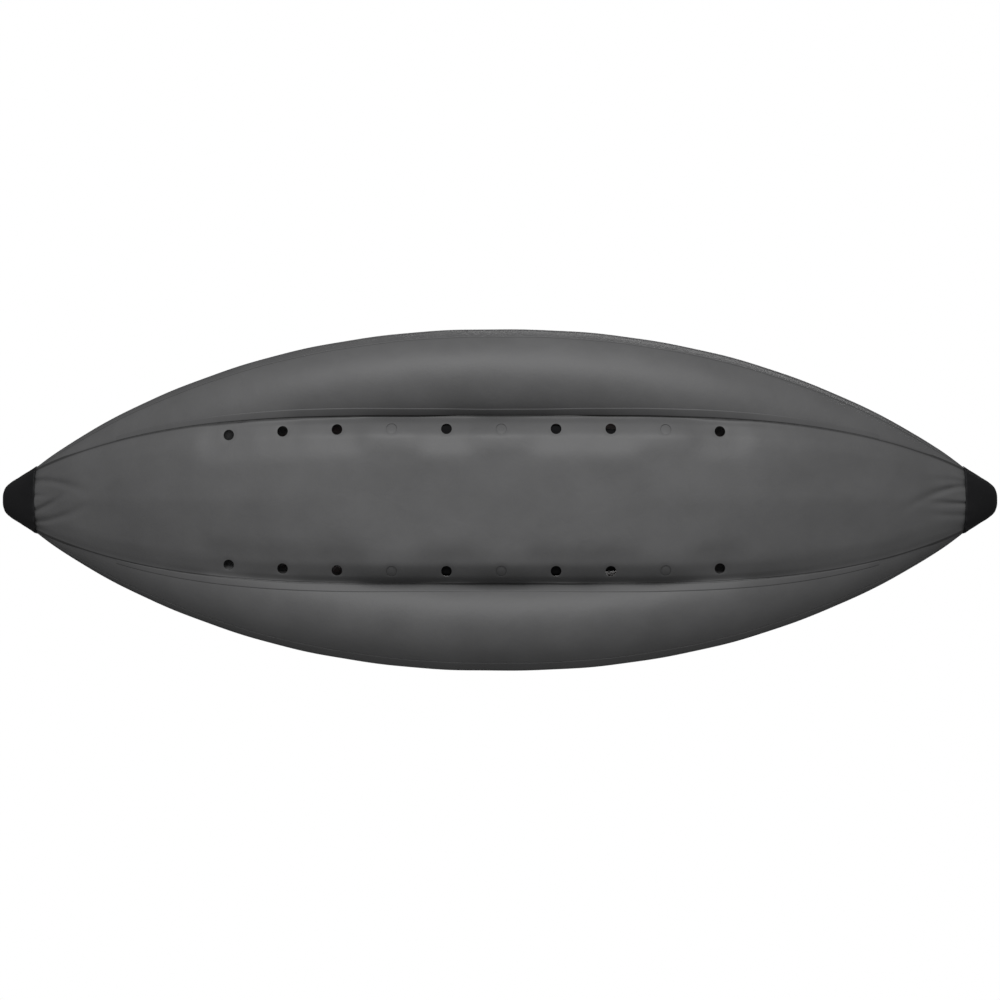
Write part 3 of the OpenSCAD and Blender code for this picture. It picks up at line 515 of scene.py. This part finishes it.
def tabs():
    """The cloth tabs on the insert that close some of the drain holes."""
    verts, faces = [], []
    long_steps, wide_steps, behind = 20, 14, 0.0032
    inset = np.linspace(hole_inset - 0.02, hole_inset + 0.018, wide_steps)
    for i in covered:
        xs = tab_span(hole_xs[i])
        for side in (-1, 1):
            x = np.linspace(xs.min(), xs.max(), long_steps)[:, None]
            p = skin_point(x, side * (skin_half(x[:, 0])[:, None] - inset[None, :]))
            p[..., 2] += behind
            start = len(verts)
            verts.extend(p.reshape(-1, 3))
            grid = grid_faces(long_steps, wide_steps, flip=side > 0)
            faces.extend(tuple(start + k for k in f) for f in grid)
    verts = np.array(verts)
    obj = new_object("tab_fabric", verts, faces, verts[:, :2])
    store_painted_shade(obj, 0 * verts[:, 0])
    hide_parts("floor_tabs")
    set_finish(obj, "tube_fabric_grey")


tabs()


# ---- Lofts rebuilt smoothly from the frame ----
def loops_of(node, count, faces_out=lambda c, n: np.ones(len(c), bool)):
    """Each station's outermost points, in order of angle, for the stations with count of them."""
    pts = outer_points(node, faces_out)
    xs, rows = [], []
    for x, g in by_station(pts, 12).items():
        mid = np.array([0, (g[:, 2].min() + g[:, 2].max()) / 2])
        a = np.arctan2(g[:, 2] - mid[1], g[:, 1])
        far = np.hypot(g[:, 1], g[:, 2] - mid[1])
        order = np.argsort(a)
        a, far, g = a[order], far[order], g[order]
        outer = [k for k in range(len(a)) if far[k] >= far[np.abs(a - a[k]) < 0.03].max() - 1e-5]
        g = g[outer]
        if len(g) != count:
            continue
        xs.append(x)
        rows.append(g[:, 1:])
    return np.array(xs), np.array(rows)


def round_loop(rows, fine):
    """Closed rows of points made fine times finer, on smooth curves."""
    n = rows.shape[1]
    closed = np.concatenate([rows[:, -3:], rows, rows[:, :3]], axis=1)
    at = np.arange(n * fine) / fine + 3
    flat = closed.transpose(1, 0, 2).reshape(n + 6, -1)
    return spline(np.arange(n + 6), flat, at).reshape(n * fine, len(rows), 2).transpose(1, 0, 2)


def at_stations(x, rows):
    """Rows of y and z set at their stations, as a grid of points."""
    return np.concatenate([np.repeat(x[:, None, None], rows.shape[1], axis=1), rows], axis=2)


def drawn_in(row, shares):
    """Copies of a row of points, drawn in to their middle."""
    return [row.mean(0) + (row - row.mean(0)) * k for k in shares]


def insert_fabric():
    """The drop-stitch floor, a closed loft whose ends are drawn in."""
    stations, fine, underside_lift = 240, 4, 0.027
    xs, rows = loops_of("floor_insert", 20)
    rows = round_loop(rows, fine)
    x = np.linspace(xs[0], xs[-1], stations)
    loops = spline(xs, rows.reshape(len(xs), -1), x).reshape(stations, -1, 2)
    # The skin dips in at its drain holes, so the insert's underside is drawn up from it
    tops = loops[..., 1].max(1)[:, None]
    lows = loops[..., 1].min(1)[:, None]
    loops[..., 1] += underside_lift * (tops - loops[..., 1]) / (tops - lows)
    p = at_stations(x, loops)
    shares = (0.7, 0.35, 0.05)
    p = np.array(drawn_in(p[0], shares[::-1]) + list(p) + drawn_in(p[-1], shares))
    obj = grid_object("insert_fabric", p, around=True)
    # Painted shade: the insert's lower half, below its middle height, is darkened as if it sat in shadow.
    co = np.array([v.co for v in obj.data.vertices])
    store_painted_shade(obj, co[:, 2] < np.interp(co[:, 0], x, loops[..., 1].mean(1)))
    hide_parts("floor_insert")
    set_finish(obj, "drop_stitch_floor")


insert_fabric()


def cap_rubber(word, way):
    """An end cap whose rim is puckered over the fabric."""
    low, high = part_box(f"{word}_cap")
    centre = np.array([0, (low[2] + high[2]) / 2])

    def out_faces(c, n):
        away = (c[:, 1:] - centre) * n[:, 1:]
        return away.sum(1) + (n[:, 0] * way) * 0.02 > 0.0

    xs, rows = loops_of(f"{word}_cap", 28, out_faces)
    rows = round_loop(rows, 4)
    if way < 0:
        xs, rows = xs[::-1], rows[::-1]
    u = np.abs(xs - xs[0])
    fine = np.linspace(0, u[-1], 40)
    flat = spline(u, rows.reshape(len(u), -1), fine).reshape(len(fine), -1, 2)
    a = np.linspace(0, 2 * math.pi, flat.shape[1], endpoint=False)
    mid = (flat.max(1) + flat.min(1)) / 2
    pucker = 1 + 0.018 * np.sin(a * 17)[None, :] * np.exp(-fine / 0.012)[:, None]
    flat = mid[:, None, :] + (flat - mid[:, None, :]) * pucker[:, :, None]
    x = xs[0] + way * fine
    rim_x = x[0] - way * np.array([0.0045, 0.0035, 0.001])
    rim_rows = np.array([mid[0] + (flat[0] - mid[0]) * k for k in (0.972, 0.992, 1.0)])
    p = at_stations(np.concatenate([rim_x, x]), np.concatenate([rim_rows, flat]))
    p = np.array(list(p) + drawn_in(p[-1], (0.75, 0.4, 0.05)))
    cap = grid_object(f"{word}_cap_rubber", p, flip=way < 0, around=True)
    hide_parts(f"{word}_cap")
    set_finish(cap, "cap_black")


def deck_fabric(word):
    """An end deck, whose edges turn down to the tubes."""
    groups = by_station(outer_points(f"{word}_deck", lambda c, n: n[:, 2] > 0.05), 8)
    xs = np.array(sorted(groups))
    shares = np.linspace(-1, 1, 41)
    rows = []
    for at in xs:
        g = groups[at]
        top = [q[2] >= g[np.abs(g[:, 1] - q[1]) < 0.0025, 2].max() - 1e-5 for q in g]
        g = g[np.array(top)]
        g = g[np.argsort(g[:, 1])]
        wide = g[:, 1].max()
        rows.append(np.column_stack([shares * wide, spline(g[:, 1], g[:, 2], shares * wide)]))
    fine = np.linspace(xs[0], xs[-1], 60)
    flat = spline(xs, np.array(rows).reshape(len(xs), -1), fine).reshape(len(fine), -1, 2)
    p = at_stations(fine, flat)
    p[:, [0, -1], 2] -= 0.002
    deck = grid_object(f"{word}_deck_fabric", p)
    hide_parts(f"{word}_deck")
    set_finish(deck, "deck_fabric_black")


for word, way in (("bow", 1), ("stern", -1)):
    cap_rubber(word, way)
    deck_fabric(word)


# ---- Seat ----
def lean_of(node):
    """Angle, centre and size of the smallest upright rectangle round a node, seen from the side."""
    mesh = frame["nodes"][node].data
    co = np.array([v.co for v in mesh.vertices])
    best = None
    for angle in np.radians(np.arange(-45, 45, 0.1)):
        along = np.array([math.sin(angle), math.cos(angle)])
        across = np.array([along[1], -along[0]])
        u, v = co[:, [0, 2]] @ along, co[:, [0, 2]] @ across
        area = np.ptp(u) * np.ptp(v)
        if best is None or area < best[0]:
            mid = along * (u.max() + u.min()) / 2 + across * (v.max() + v.min()) / 2
            best = (area, along, across, mid, np.ptp(u), np.ptp(v))
    return best[1:] + (np.ptp(co[:, 1]),)


def pad(name, centre, along, out, length, width, thick, channels, firm, body):
    """A padded panel: crowned on its face, firmer behind, sewn in channels, piped round its edge."""
    n_u, n_v = 72, 64
    side_seam = 0.36 * width
    u = np.sin(np.linspace(-math.pi / 2, math.pi / 2, n_u))
    v = np.sin(np.linspace(-math.pi / 2, math.pi / 2, n_v))
    uu, vv = np.meshgrid(u, v, indexing="ij")
    x = uu * (1 - 0.035 * vv ** 6 - 0.012 * (1 - vv ** 2)) * length / 2
    y = vv * (1 - 0.05 * uu ** 6 - 0.014 * (1 - uu ** 2)) * width / 2
    rise = np.clip((1 - uu ** 8) * (1 - vv ** 8), 0, 1)
    dip = np.zeros_like(x)
    for c in channels:
        at = (c - 0.5) * length
        dip += bump(x - at, 0.0055) + 0.35 * bump(x - at, 0.016)
    for side in (-1, 1):
        dip += 0.8 * bump(y - side * side_seam, 0.0055) + 0.3 * bump(y - side * side_seam, 0.016)
    dip = np.minimum(dip, 1.25)
    ruck = 0.0012 * np.sin(46 * y + 3 * np.sin(30 * x)) * np.sin(19 * x + 1) * (1 - np.minimum(1, dip))
    face = thick * 0.5 * (0.16 + 0.84 * rise ** 0.42) * (1 - 0.10 * (uu ** 2 + vv ** 2) / 2)
    front = face - 0.0085 * dip * rise ** 0.3 + ruck * rise
    back = -thick * 0.5 * (0.16 + 0.84 * rise ** firm) + 0.0022 * dip * rise
    along, out = np.array(along, float), np.array(out, float)
    wide = np.array([0, 1.0, 0])
    flat = np.array(centre) + x[..., None] * along + y[..., None] * wide
    top = (flat + front[..., None] * out).reshape(-1, 3)
    low = (flat + back[..., None] * out).reshape(-1, 3)
    faces = grid_faces(n_u, n_v)
    n = n_u * n_v
    faces += [tuple(i + n for i in f[::-1]) for f in faces]
    ring = ([(i, 0) for i in range(n_u - 1)] + [(n_u - 1, j) for j in range(n_v - 1)]
            + [(i, n_v - 1) for i in range(n_u - 1, 0, -1)] + [(0, j) for j in range(n_v - 1, 0, -1)])
    ids = [i * n_v + j for i, j in ring]
    for k, a in enumerate(ids):
        b = ids[(k + 1) % len(ids)]
        faces.append((a, b, b + n, a + n))
    uv = np.concatenate([np.dstack([x, y]).reshape(-1, 2)] * 2)
    obj = new_object(name, np.concatenate([top, low]), faces, uv, body)
    # Piping along the seam
    middle = (top[ids] + low[ids]) / 2
    curve = []
    corners = 8
    radius = 0.0032
    for p in middle:
        away = p - np.array(centre)
        away -= out * (away @ out)
        away /= np.linalg.norm(away)
        for q in range(corners):
            t = 2 * math.pi * q / corners
            curve.append(p + away * (0.0005 + radius * math.cos(t)) + out * radius * math.sin(t))
    pipe_faces = []
    for k in range(len(middle)):
        here, ahead = k * corners, (k + 1) % len(middle) * corners
        for q in range(corners):
            n = (q + 1) % corners
            pipe_faces.append((here + q, ahead + q, ahead + n, here + n))
    piping = new_object(name + "_piping", np.array(curve), pipe_faces, None, body)
    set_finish(piping, "webbing_black")
    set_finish(obj, "seat_cover_black")
    return obj


low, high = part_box("seat_base")
seat = pad("seat_cushion", (low + high) / 2, (1, 0, 0), (0, 0, 1), high[0] - low[0],
           high[1] - low[1], high[2] - low[2], (0.26, 0.5, 0.74), 0.2, "hull")
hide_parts("seat_base")
along, across, mid, tall, deep, wide = lean_of("seat_back")
across = across if across[0] > 0 else -across
back = pad("backrest_cushion", (mid[0], 0, mid[1]), (along[0], 0, along[1]),
           (across[0], 0, across[1]), tall, wide, deep, (0.2, 0.4, 0.6, 0.8), 0.25, "seat_back")
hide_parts("seat_back")


def strap(word):
    """Webbing from the backrest's buckle to the hook on the middle D-ring."""
    mesh = frame["nodes"][f"{word}_seat_strap"].data
    co = np.array([v.co for v in mesh.vertices])
    halfway = (co[:, 0].min() + co[:, 0].max()) / 2
    ends = [co[co[:, 0] < halfway], co[co[:, 0] > halfway]]
    a, b = (e.mean(0) for e in ends)
    tall = np.ptp(ends[0][:, 2])
    thick, sag = 0.0016, 0.003
    outline = [(-0.5, 0.5), (-0.47, 1), (0, 1), (0.47, 1), (0.5, 0.5)]
    outline += [(-h, -o) for h, o in outline]
    t = np.linspace(0, 1, 70)
    path = a + (b - a) * t[:, None]
    path[:, 2] -= sag * 4 * t * (1 - t)
    side = np.array([-(b - a)[1], (b - a)[0], 0])
    side /= np.linalg.norm(side)
    rows = []
    for p in path:
        rows.append([p + np.array([0, 0, h * tall]) + side * o * thick / 2 for h, o in outline])
    obj = grid_object(f"{word}_strap_webbing", np.array(rows), body=None, around=True)
    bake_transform(obj)
    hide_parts(f"{word}_seat_strap")
    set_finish(obj, "webbing_black")


for side, word in sides:
    strap(word)


# ---- Materials ----
def material(name):
    m = bpy.data.materials.new(name)
    m.use_nodes = True
    nodes, links = m.node_tree.nodes, m.node_tree.links
    shader = next(n for n in nodes if n.type == "BSDF_PRINCIPLED")
    return m, nodes, links, shader


def coated(name, colour, rough, weave=0.0, pitch=0.0011, uv=True, spread=0.12, wear=0.06,
           specular=0.5, grain=0.0002, sheen=0.0, crease=0.0, seams=False):
    """Coated or woven cloth: blotches of tone, rubbed patches, a weave and a fine grain.
    seams is for cloth whose mesh has a map of painted shade, which darkens its colour."""
    m, nodes, links, shader = material(name)
    place = nodes.new("ShaderNodeTexCoord")
    blotch = nodes.new("ShaderNodeTexNoise")
    blotch.inputs["Scale"].default_value = 6
    blotch.inputs["Detail"].default_value = 5
    blotch.inputs["Roughness"].default_value = 0.6
    links.new(place.outputs["Object"], blotch.inputs["Vector"])
    fine = nodes.new("ShaderNodeTexNoise")
    fine.inputs["Scale"].default_value = 240
    fine.inputs["Detail"].default_value = 3
    links.new(place.outputs["Object"], fine.inputs["Vector"])
    ramp = nodes.new("ShaderNodeValToRGB")
    ramp.color_ramp.elements[0].position = 0.3
    ramp.color_ramp.elements[1].position = 0.7
    ramp.color_ramp.elements[0].color = [c * (1 - spread) for c in colour] + [1]
    ramp.color_ramp.elements[1].color = [c * (1 + spread) for c in colour] + [1]
    links.new(blotch.outputs["Fac"], ramp.inputs["Fac"])
    rub = nodes.new("ShaderNodeMixRGB")
    rub.blend_type = "ADD"
    rub.inputs["Color2"].default_value = (0.5, 0.5, 0.5, 1)
    rubbed = nodes.new("ShaderNodeValToRGB")
    rubbed.color_ramp.elements[0].position = 0.62
    rubbed.color_ramp.elements[1].position = 0.9
    rubbed.color_ramp.elements[0].color = (0, 0, 0, 1)
    rubbed.color_ramp.elements[1].color = (wear, wear, wear, 1)
    links.new(fine.outputs["Fac"], rubbed.inputs["Fac"])
    links.new(rubbed.outputs["Color"], rub.inputs["Fac"])
    links.new(ramp.outputs["Color"], rub.inputs["Color1"])
    if seams:
        # Painted shade: the colour is multiplied down to 0.4 of itself where the mesh's shade map says
        # so, in the crease at the floor's edge and under the insert.
        seam = nodes.new("ShaderNodeAttribute")
        seam.attribute_name = "painted_shade"
        darken_for_painted_shade = nodes.new("ShaderNodeMixRGB")
        darken_for_painted_shade.blend_type = "MULTIPLY"
        darken_for_painted_shade.inputs["Color2"].default_value = (0.4, 0.4, 0.4, 1)
        links.new(seam.outputs["Fac"], darken_for_painted_shade.inputs["Fac"])
        links.new(rub.outputs["Color"], darken_for_painted_shade.inputs["Color1"])
        links.new(darken_for_painted_shade.outputs["Color"], shader.inputs["Base Color"])
    else:
        links.new(rub.outputs["Color"], shader.inputs["Base Color"])
    tone = nodes.new("ShaderNodeMapRange")
    tone.inputs["To Min"].default_value = max(0.05, rough - 0.09)
    tone.inputs["To Max"].default_value = min(1, rough + 0.09)
    links.new(blotch.outputs["Fac"], tone.inputs["Value"])
    links.new(tone.outputs["Result"], shader.inputs["Roughness"])
    if seams:
        # Gloss fades towards edge-on angles. This is tuned to the photo, whose outline has no pale
        # rim, and isn't how cloth behaves. The export drops it, as it drops any linked specular level.
        edge_on = nodes.new("ShaderNodeLayerWeight")
        edge_on.inputs["Blend"].default_value = 0.5
        gloss = nodes.new("ShaderNodeMapRange")
        gloss.inputs["From Min"].default_value = 0.45
        gloss.inputs["From Max"].default_value = 0.74
        gloss.inputs["To Min"].default_value = specular
        gloss.inputs["To Max"].default_value = 0.0
        links.new(edge_on.outputs["Facing"], gloss.inputs["Value"])
        links.new(gloss.outputs["Result"], shader.inputs["Specular IOR Level"])
    else:
        shader.inputs["Specular IOR Level"].default_value = specular
    if sheen:
        shader.inputs["Sheen Weight"].default_value = sheen
    bump_grain = nodes.new("ShaderNodeBump")
    bump_grain.inputs["Distance"].default_value = grain
    bump_grain.inputs["Strength"].default_value = 0.6
    links.new(fine.outputs["Fac"], bump_grain.inputs["Height"])
    last = bump_grain
    if weave:
        source = place.outputs["UV"] if uv else place.outputs["Object"]
        crossed = nodes.new("ShaderNodeMath")
        crossed.operation = "MAXIMUM"
        for k, axis in enumerate(("X", "Y")):
            wave = nodes.new("ShaderNodeTexWave")
            wave.bands_direction = axis
            wave.inputs["Scale"].default_value = 0.314 / pitch / 2
            wave.inputs["Distortion"].default_value = 0.15
            links.new(source, wave.inputs["Vector"])
            links.new(wave.outputs["Fac"], crossed.inputs[k])
        threads = nodes.new("ShaderNodeBump")
        threads.inputs["Distance"].default_value = weave
        threads.inputs["Strength"].default_value = 0.5
        links.new(crossed.outputs[0], threads.inputs["Height"])
        links.new(last.outputs["Normal"], threads.inputs["Normal"])
        last = threads
    if crease:
        folds = nodes.new("ShaderNodeTexNoise")
        folds.inputs["Scale"].default_value = 22
        folds.inputs["Detail"].default_value = 2
        folds.inputs["Distortion"].default_value = 0.6
        links.new(place.outputs["Object"], folds.inputs["Vector"])
        soft = nodes.new("ShaderNodeBump")
        soft.inputs["Distance"].default_value = crease
        soft.inputs["Strength"].default_value = 1
        links.new(folds.outputs["Fac"], soft.inputs["Height"])
        links.new(last.outputs["Normal"], soft.inputs["Normal"])
        last = soft
    links.new(last.outputs["Normal"], shader.inputs["Normal"])
    return m


def hard(name, colour, rough, metal=0.0, grain=0.00006, scale=500, spread=0.06, brushed=False):
    """Plastic, rubber or metal: a faint mottle, uneven gloss and a moulded or brushed grain."""
    m, nodes, links, shader = material(name)
    place = nodes.new("ShaderNodeTexCoord")
    stretch = nodes.new("ShaderNodeMapping")
    stretch.inputs["Scale"].default_value = (1, 14, 14) if brushed else (1, 1, 1)
    links.new(place.outputs["Object"], stretch.inputs["Vector"])
    noise = nodes.new("ShaderNodeTexNoise")
    noise.inputs["Scale"].default_value = scale / (4 if brushed else 1)
    noise.inputs["Detail"].default_value = 3
    links.new(stretch.outputs["Vector"], noise.inputs["Vector"])
    broad = nodes.new("ShaderNodeTexNoise")
    broad.inputs["Scale"].default_value = 30
    broad.inputs["Detail"].default_value = 4
    links.new(place.outputs["Object"], broad.inputs["Vector"])
    ramp = nodes.new("ShaderNodeValToRGB")
    ramp.color_ramp.elements[0].position = 0.35
    ramp.color_ramp.elements[1].position = 0.65
    ramp.color_ramp.elements[0].color = [c * (1 - spread) for c in colour] + [1]
    ramp.color_ramp.elements[1].color = [min(1, c * (1 + spread)) for c in colour] + [1]
    links.new(broad.outputs["Fac"], ramp.inputs["Fac"])
    links.new(ramp.outputs["Color"], shader.inputs["Base Color"])
    tone = nodes.new("ShaderNodeMapRange")
    tone.inputs["To Min"].default_value = max(0.04, rough - 0.1)
    tone.inputs["To Max"].default_value = min(1, rough + 0.1)
    links.new(broad.outputs["Fac"], tone.inputs["Value"])
    links.new(tone.outputs["Result"], shader.inputs["Roughness"])
    shader.inputs["Metallic"].default_value = metal
    relief = nodes.new("ShaderNodeBump")
    relief.inputs["Distance"].default_value = grain
    relief.inputs["Strength"].default_value = 0.6
    links.new(noise.outputs["Fac"], relief.inputs["Height"])
    links.new(relief.outputs["Normal"], shader.inputs["Normal"])
    return m


grey = (0.033, 0.033, 0.0335)
looks = {
    "tube_fabric_grey": coated("grey_fabric", grey, 0.5, 0.00025, specular=0.13, crease=0.0006,
                               spread=0.08, wear=0.012, seams=True),
    "seam_tape_grey": coated("grey_tape", [c * 0.92 for c in grey], 0.52, 0.0002, specular=0.13,
                             spread=0.08, wear=0.01, seams=True),
    "tube_fabric_red": coated("red_fabric", (0.33, 0.012, 0.012), 0.6, 0.00025, specular=0.05,
                              crease=0.0006, spread=0.1, wear=0.02, seams=True),
    "bladder_film": hard("bladder_film", (0.55, 0.6, 0.66), 0.3),
    "drop_stitch_floor": coated("insert_fabric", (0.006, 0.006, 0.0064), 0.8, 0.0004, specular=0.02,
                                spread=0.15, wear=0.002, seams=True),
    "cap_black": coated("cap_rubber", (0.0042, 0.0042, 0.0045), 0.6, 0, uv=False, specular=0.05,
                        spread=0.15, wear=0.01, grain=0.0004),
    "deck_fabric_black": coated("deck_fabric", (0.012, 0.012, 0.013), 0.55, 0.0003, uv=False,
                                specular=0.3, spread=0.12, wear=0.015),
    "webbing_black": coated("webbing", (0.011, 0.011, 0.012), 0.8, 0.0005, 0.0022, uv=False,
                            specular=0.25, spread=0.15, sheen=0.15),
    "zip_black": hard("zip_plastic", (0.013, 0.013, 0.014), 0.45),
    "bright_metal": hard("bright_metal", (0.62, 0.62, 0.63), 0.24, 1.0, brushed=True),
    "valve_white": hard("valve_plastic", (0.62, 0.62, 0.6), 0.42),
    "gasket_black": hard("gasket_rubber", (0.014, 0.014, 0.014), 0.7, grain=0.0001),
    "poppet_orange": hard("poppet_plastic", (0.72, 0.2, 0.03), 0.4),
    "grip_black": hard("grip_rubber", (0.014, 0.014, 0.015), 0.62, grain=0.00025, scale=260),
    "seat_cover_black": coated("seat_fabric", (0.013, 0.013, 0.014), 0.85, 0.0006, 0.0016, uv=False,
                               specular=0.2, sheen=0.3, spread=0.14, wear=0.02),
    "plastic_black": hard("black_plastic", (0.012, 0.012, 0.013), 0.42),
}
for node in frame["nodes"].values():
    for k, s in enumerate(node.material_slots):
        if s.material and s.material.name in looks:
            node.data.materials[k] = looks[s.material.name]
for obj in list(bpy.data.objects):
    if obj.type == "MESH" and "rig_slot" in obj and "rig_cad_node" not in obj:
        obj.data.materials.clear()
        obj.data.materials.append(looks[obj["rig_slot"]])

# ---- Stage and light ----
reach = 4 * (cad_high[0] - cad_low[0])
floor_z = -0.004
corners = [(i * reach, j * reach, floor_z) for i, j in ((-1, -1), (1, -1), (1, 1), (-1, 1))]
floor = new_object("studio_floor", corners, [(0, 1, 2, 3)], body=None)
m, nodes, links, shader = material("pale_floor")
shader.inputs["Base Color"].default_value = (0.82, 0.82, 0.82, 1)
shader.inputs["Roughness"].default_value = 0.9
# From below the floor is clear, so that the boat's bottom shows
geometry = nodes.new("ShaderNodeNewGeometry")
clear = nodes.new("ShaderNodeBsdfTransparent")
either = nodes.new("ShaderNodeMixShader")
links.new(geometry.outputs["Backfacing"], either.inputs["Fac"])
links.new(shader.outputs[0], either.inputs[1])
links.new(clear.outputs[0], either.inputs[2])
surface = next(n for n in nodes if n.type == "OUTPUT_MATERIAL").inputs["Surface"]
links.new(either.outputs[0], surface)
floor.data.materials.append(m)
floor.visible_shadow = False
floor.visible_diffuse = False
floor.visible_glossy = False
floor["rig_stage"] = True

world = bpy.data.worlds.new("studio")
world.use_nodes = True
background = next(n for n in world.node_tree.nodes if n.type == "BACKGROUND")
background.inputs["Color"].default_value = (1, 1, 1, 1)
# Reflections see a dimmer world than the camera does, or the cloth's edges turn white. It is a
# setting of this render, and the exported model doesn't carry it.
rays = world.node_tree.nodes.new("ShaderNodeLightPath")
dim = world.node_tree.nodes.new("ShaderNodeMapRange")
dim.inputs["To Min"].default_value = 1.0
dim.inputs["To Max"].default_value = 0.3
world.node_tree.links.new(rays.outputs["Is Glossy Ray"], dim.inputs["Value"])
world.node_tree.links.new(dim.outputs["Result"], background.inputs["Strength"])
bpy.context.scene.world = world


def softbox(name, place, target, size, power):
    light = bpy.data.objects.new(name, bpy.data.lights.new(name, "AREA"))
    light.data.shape = "RECTANGLE"
    light.data.size, light.data.size_y = size
    light.data.energy = power
    bpy.context.scene.collection.objects.link(light)
    light.location = place
    way = np.array(target) - np.array(place)
    light.rotation_euler = Vector(way).to_track_quat("-Z", "Y").to_euler()
    light.visible_camera = False


softbox("under_key", (0, -3.9, -4.6), (0, 0, 0.2), (5.5, 3.6), 970)
softbox("top_key", (1.2, -2.6, 4.6), (0, 0, 0.3), (3.5, 2.5), 160)

low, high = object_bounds()
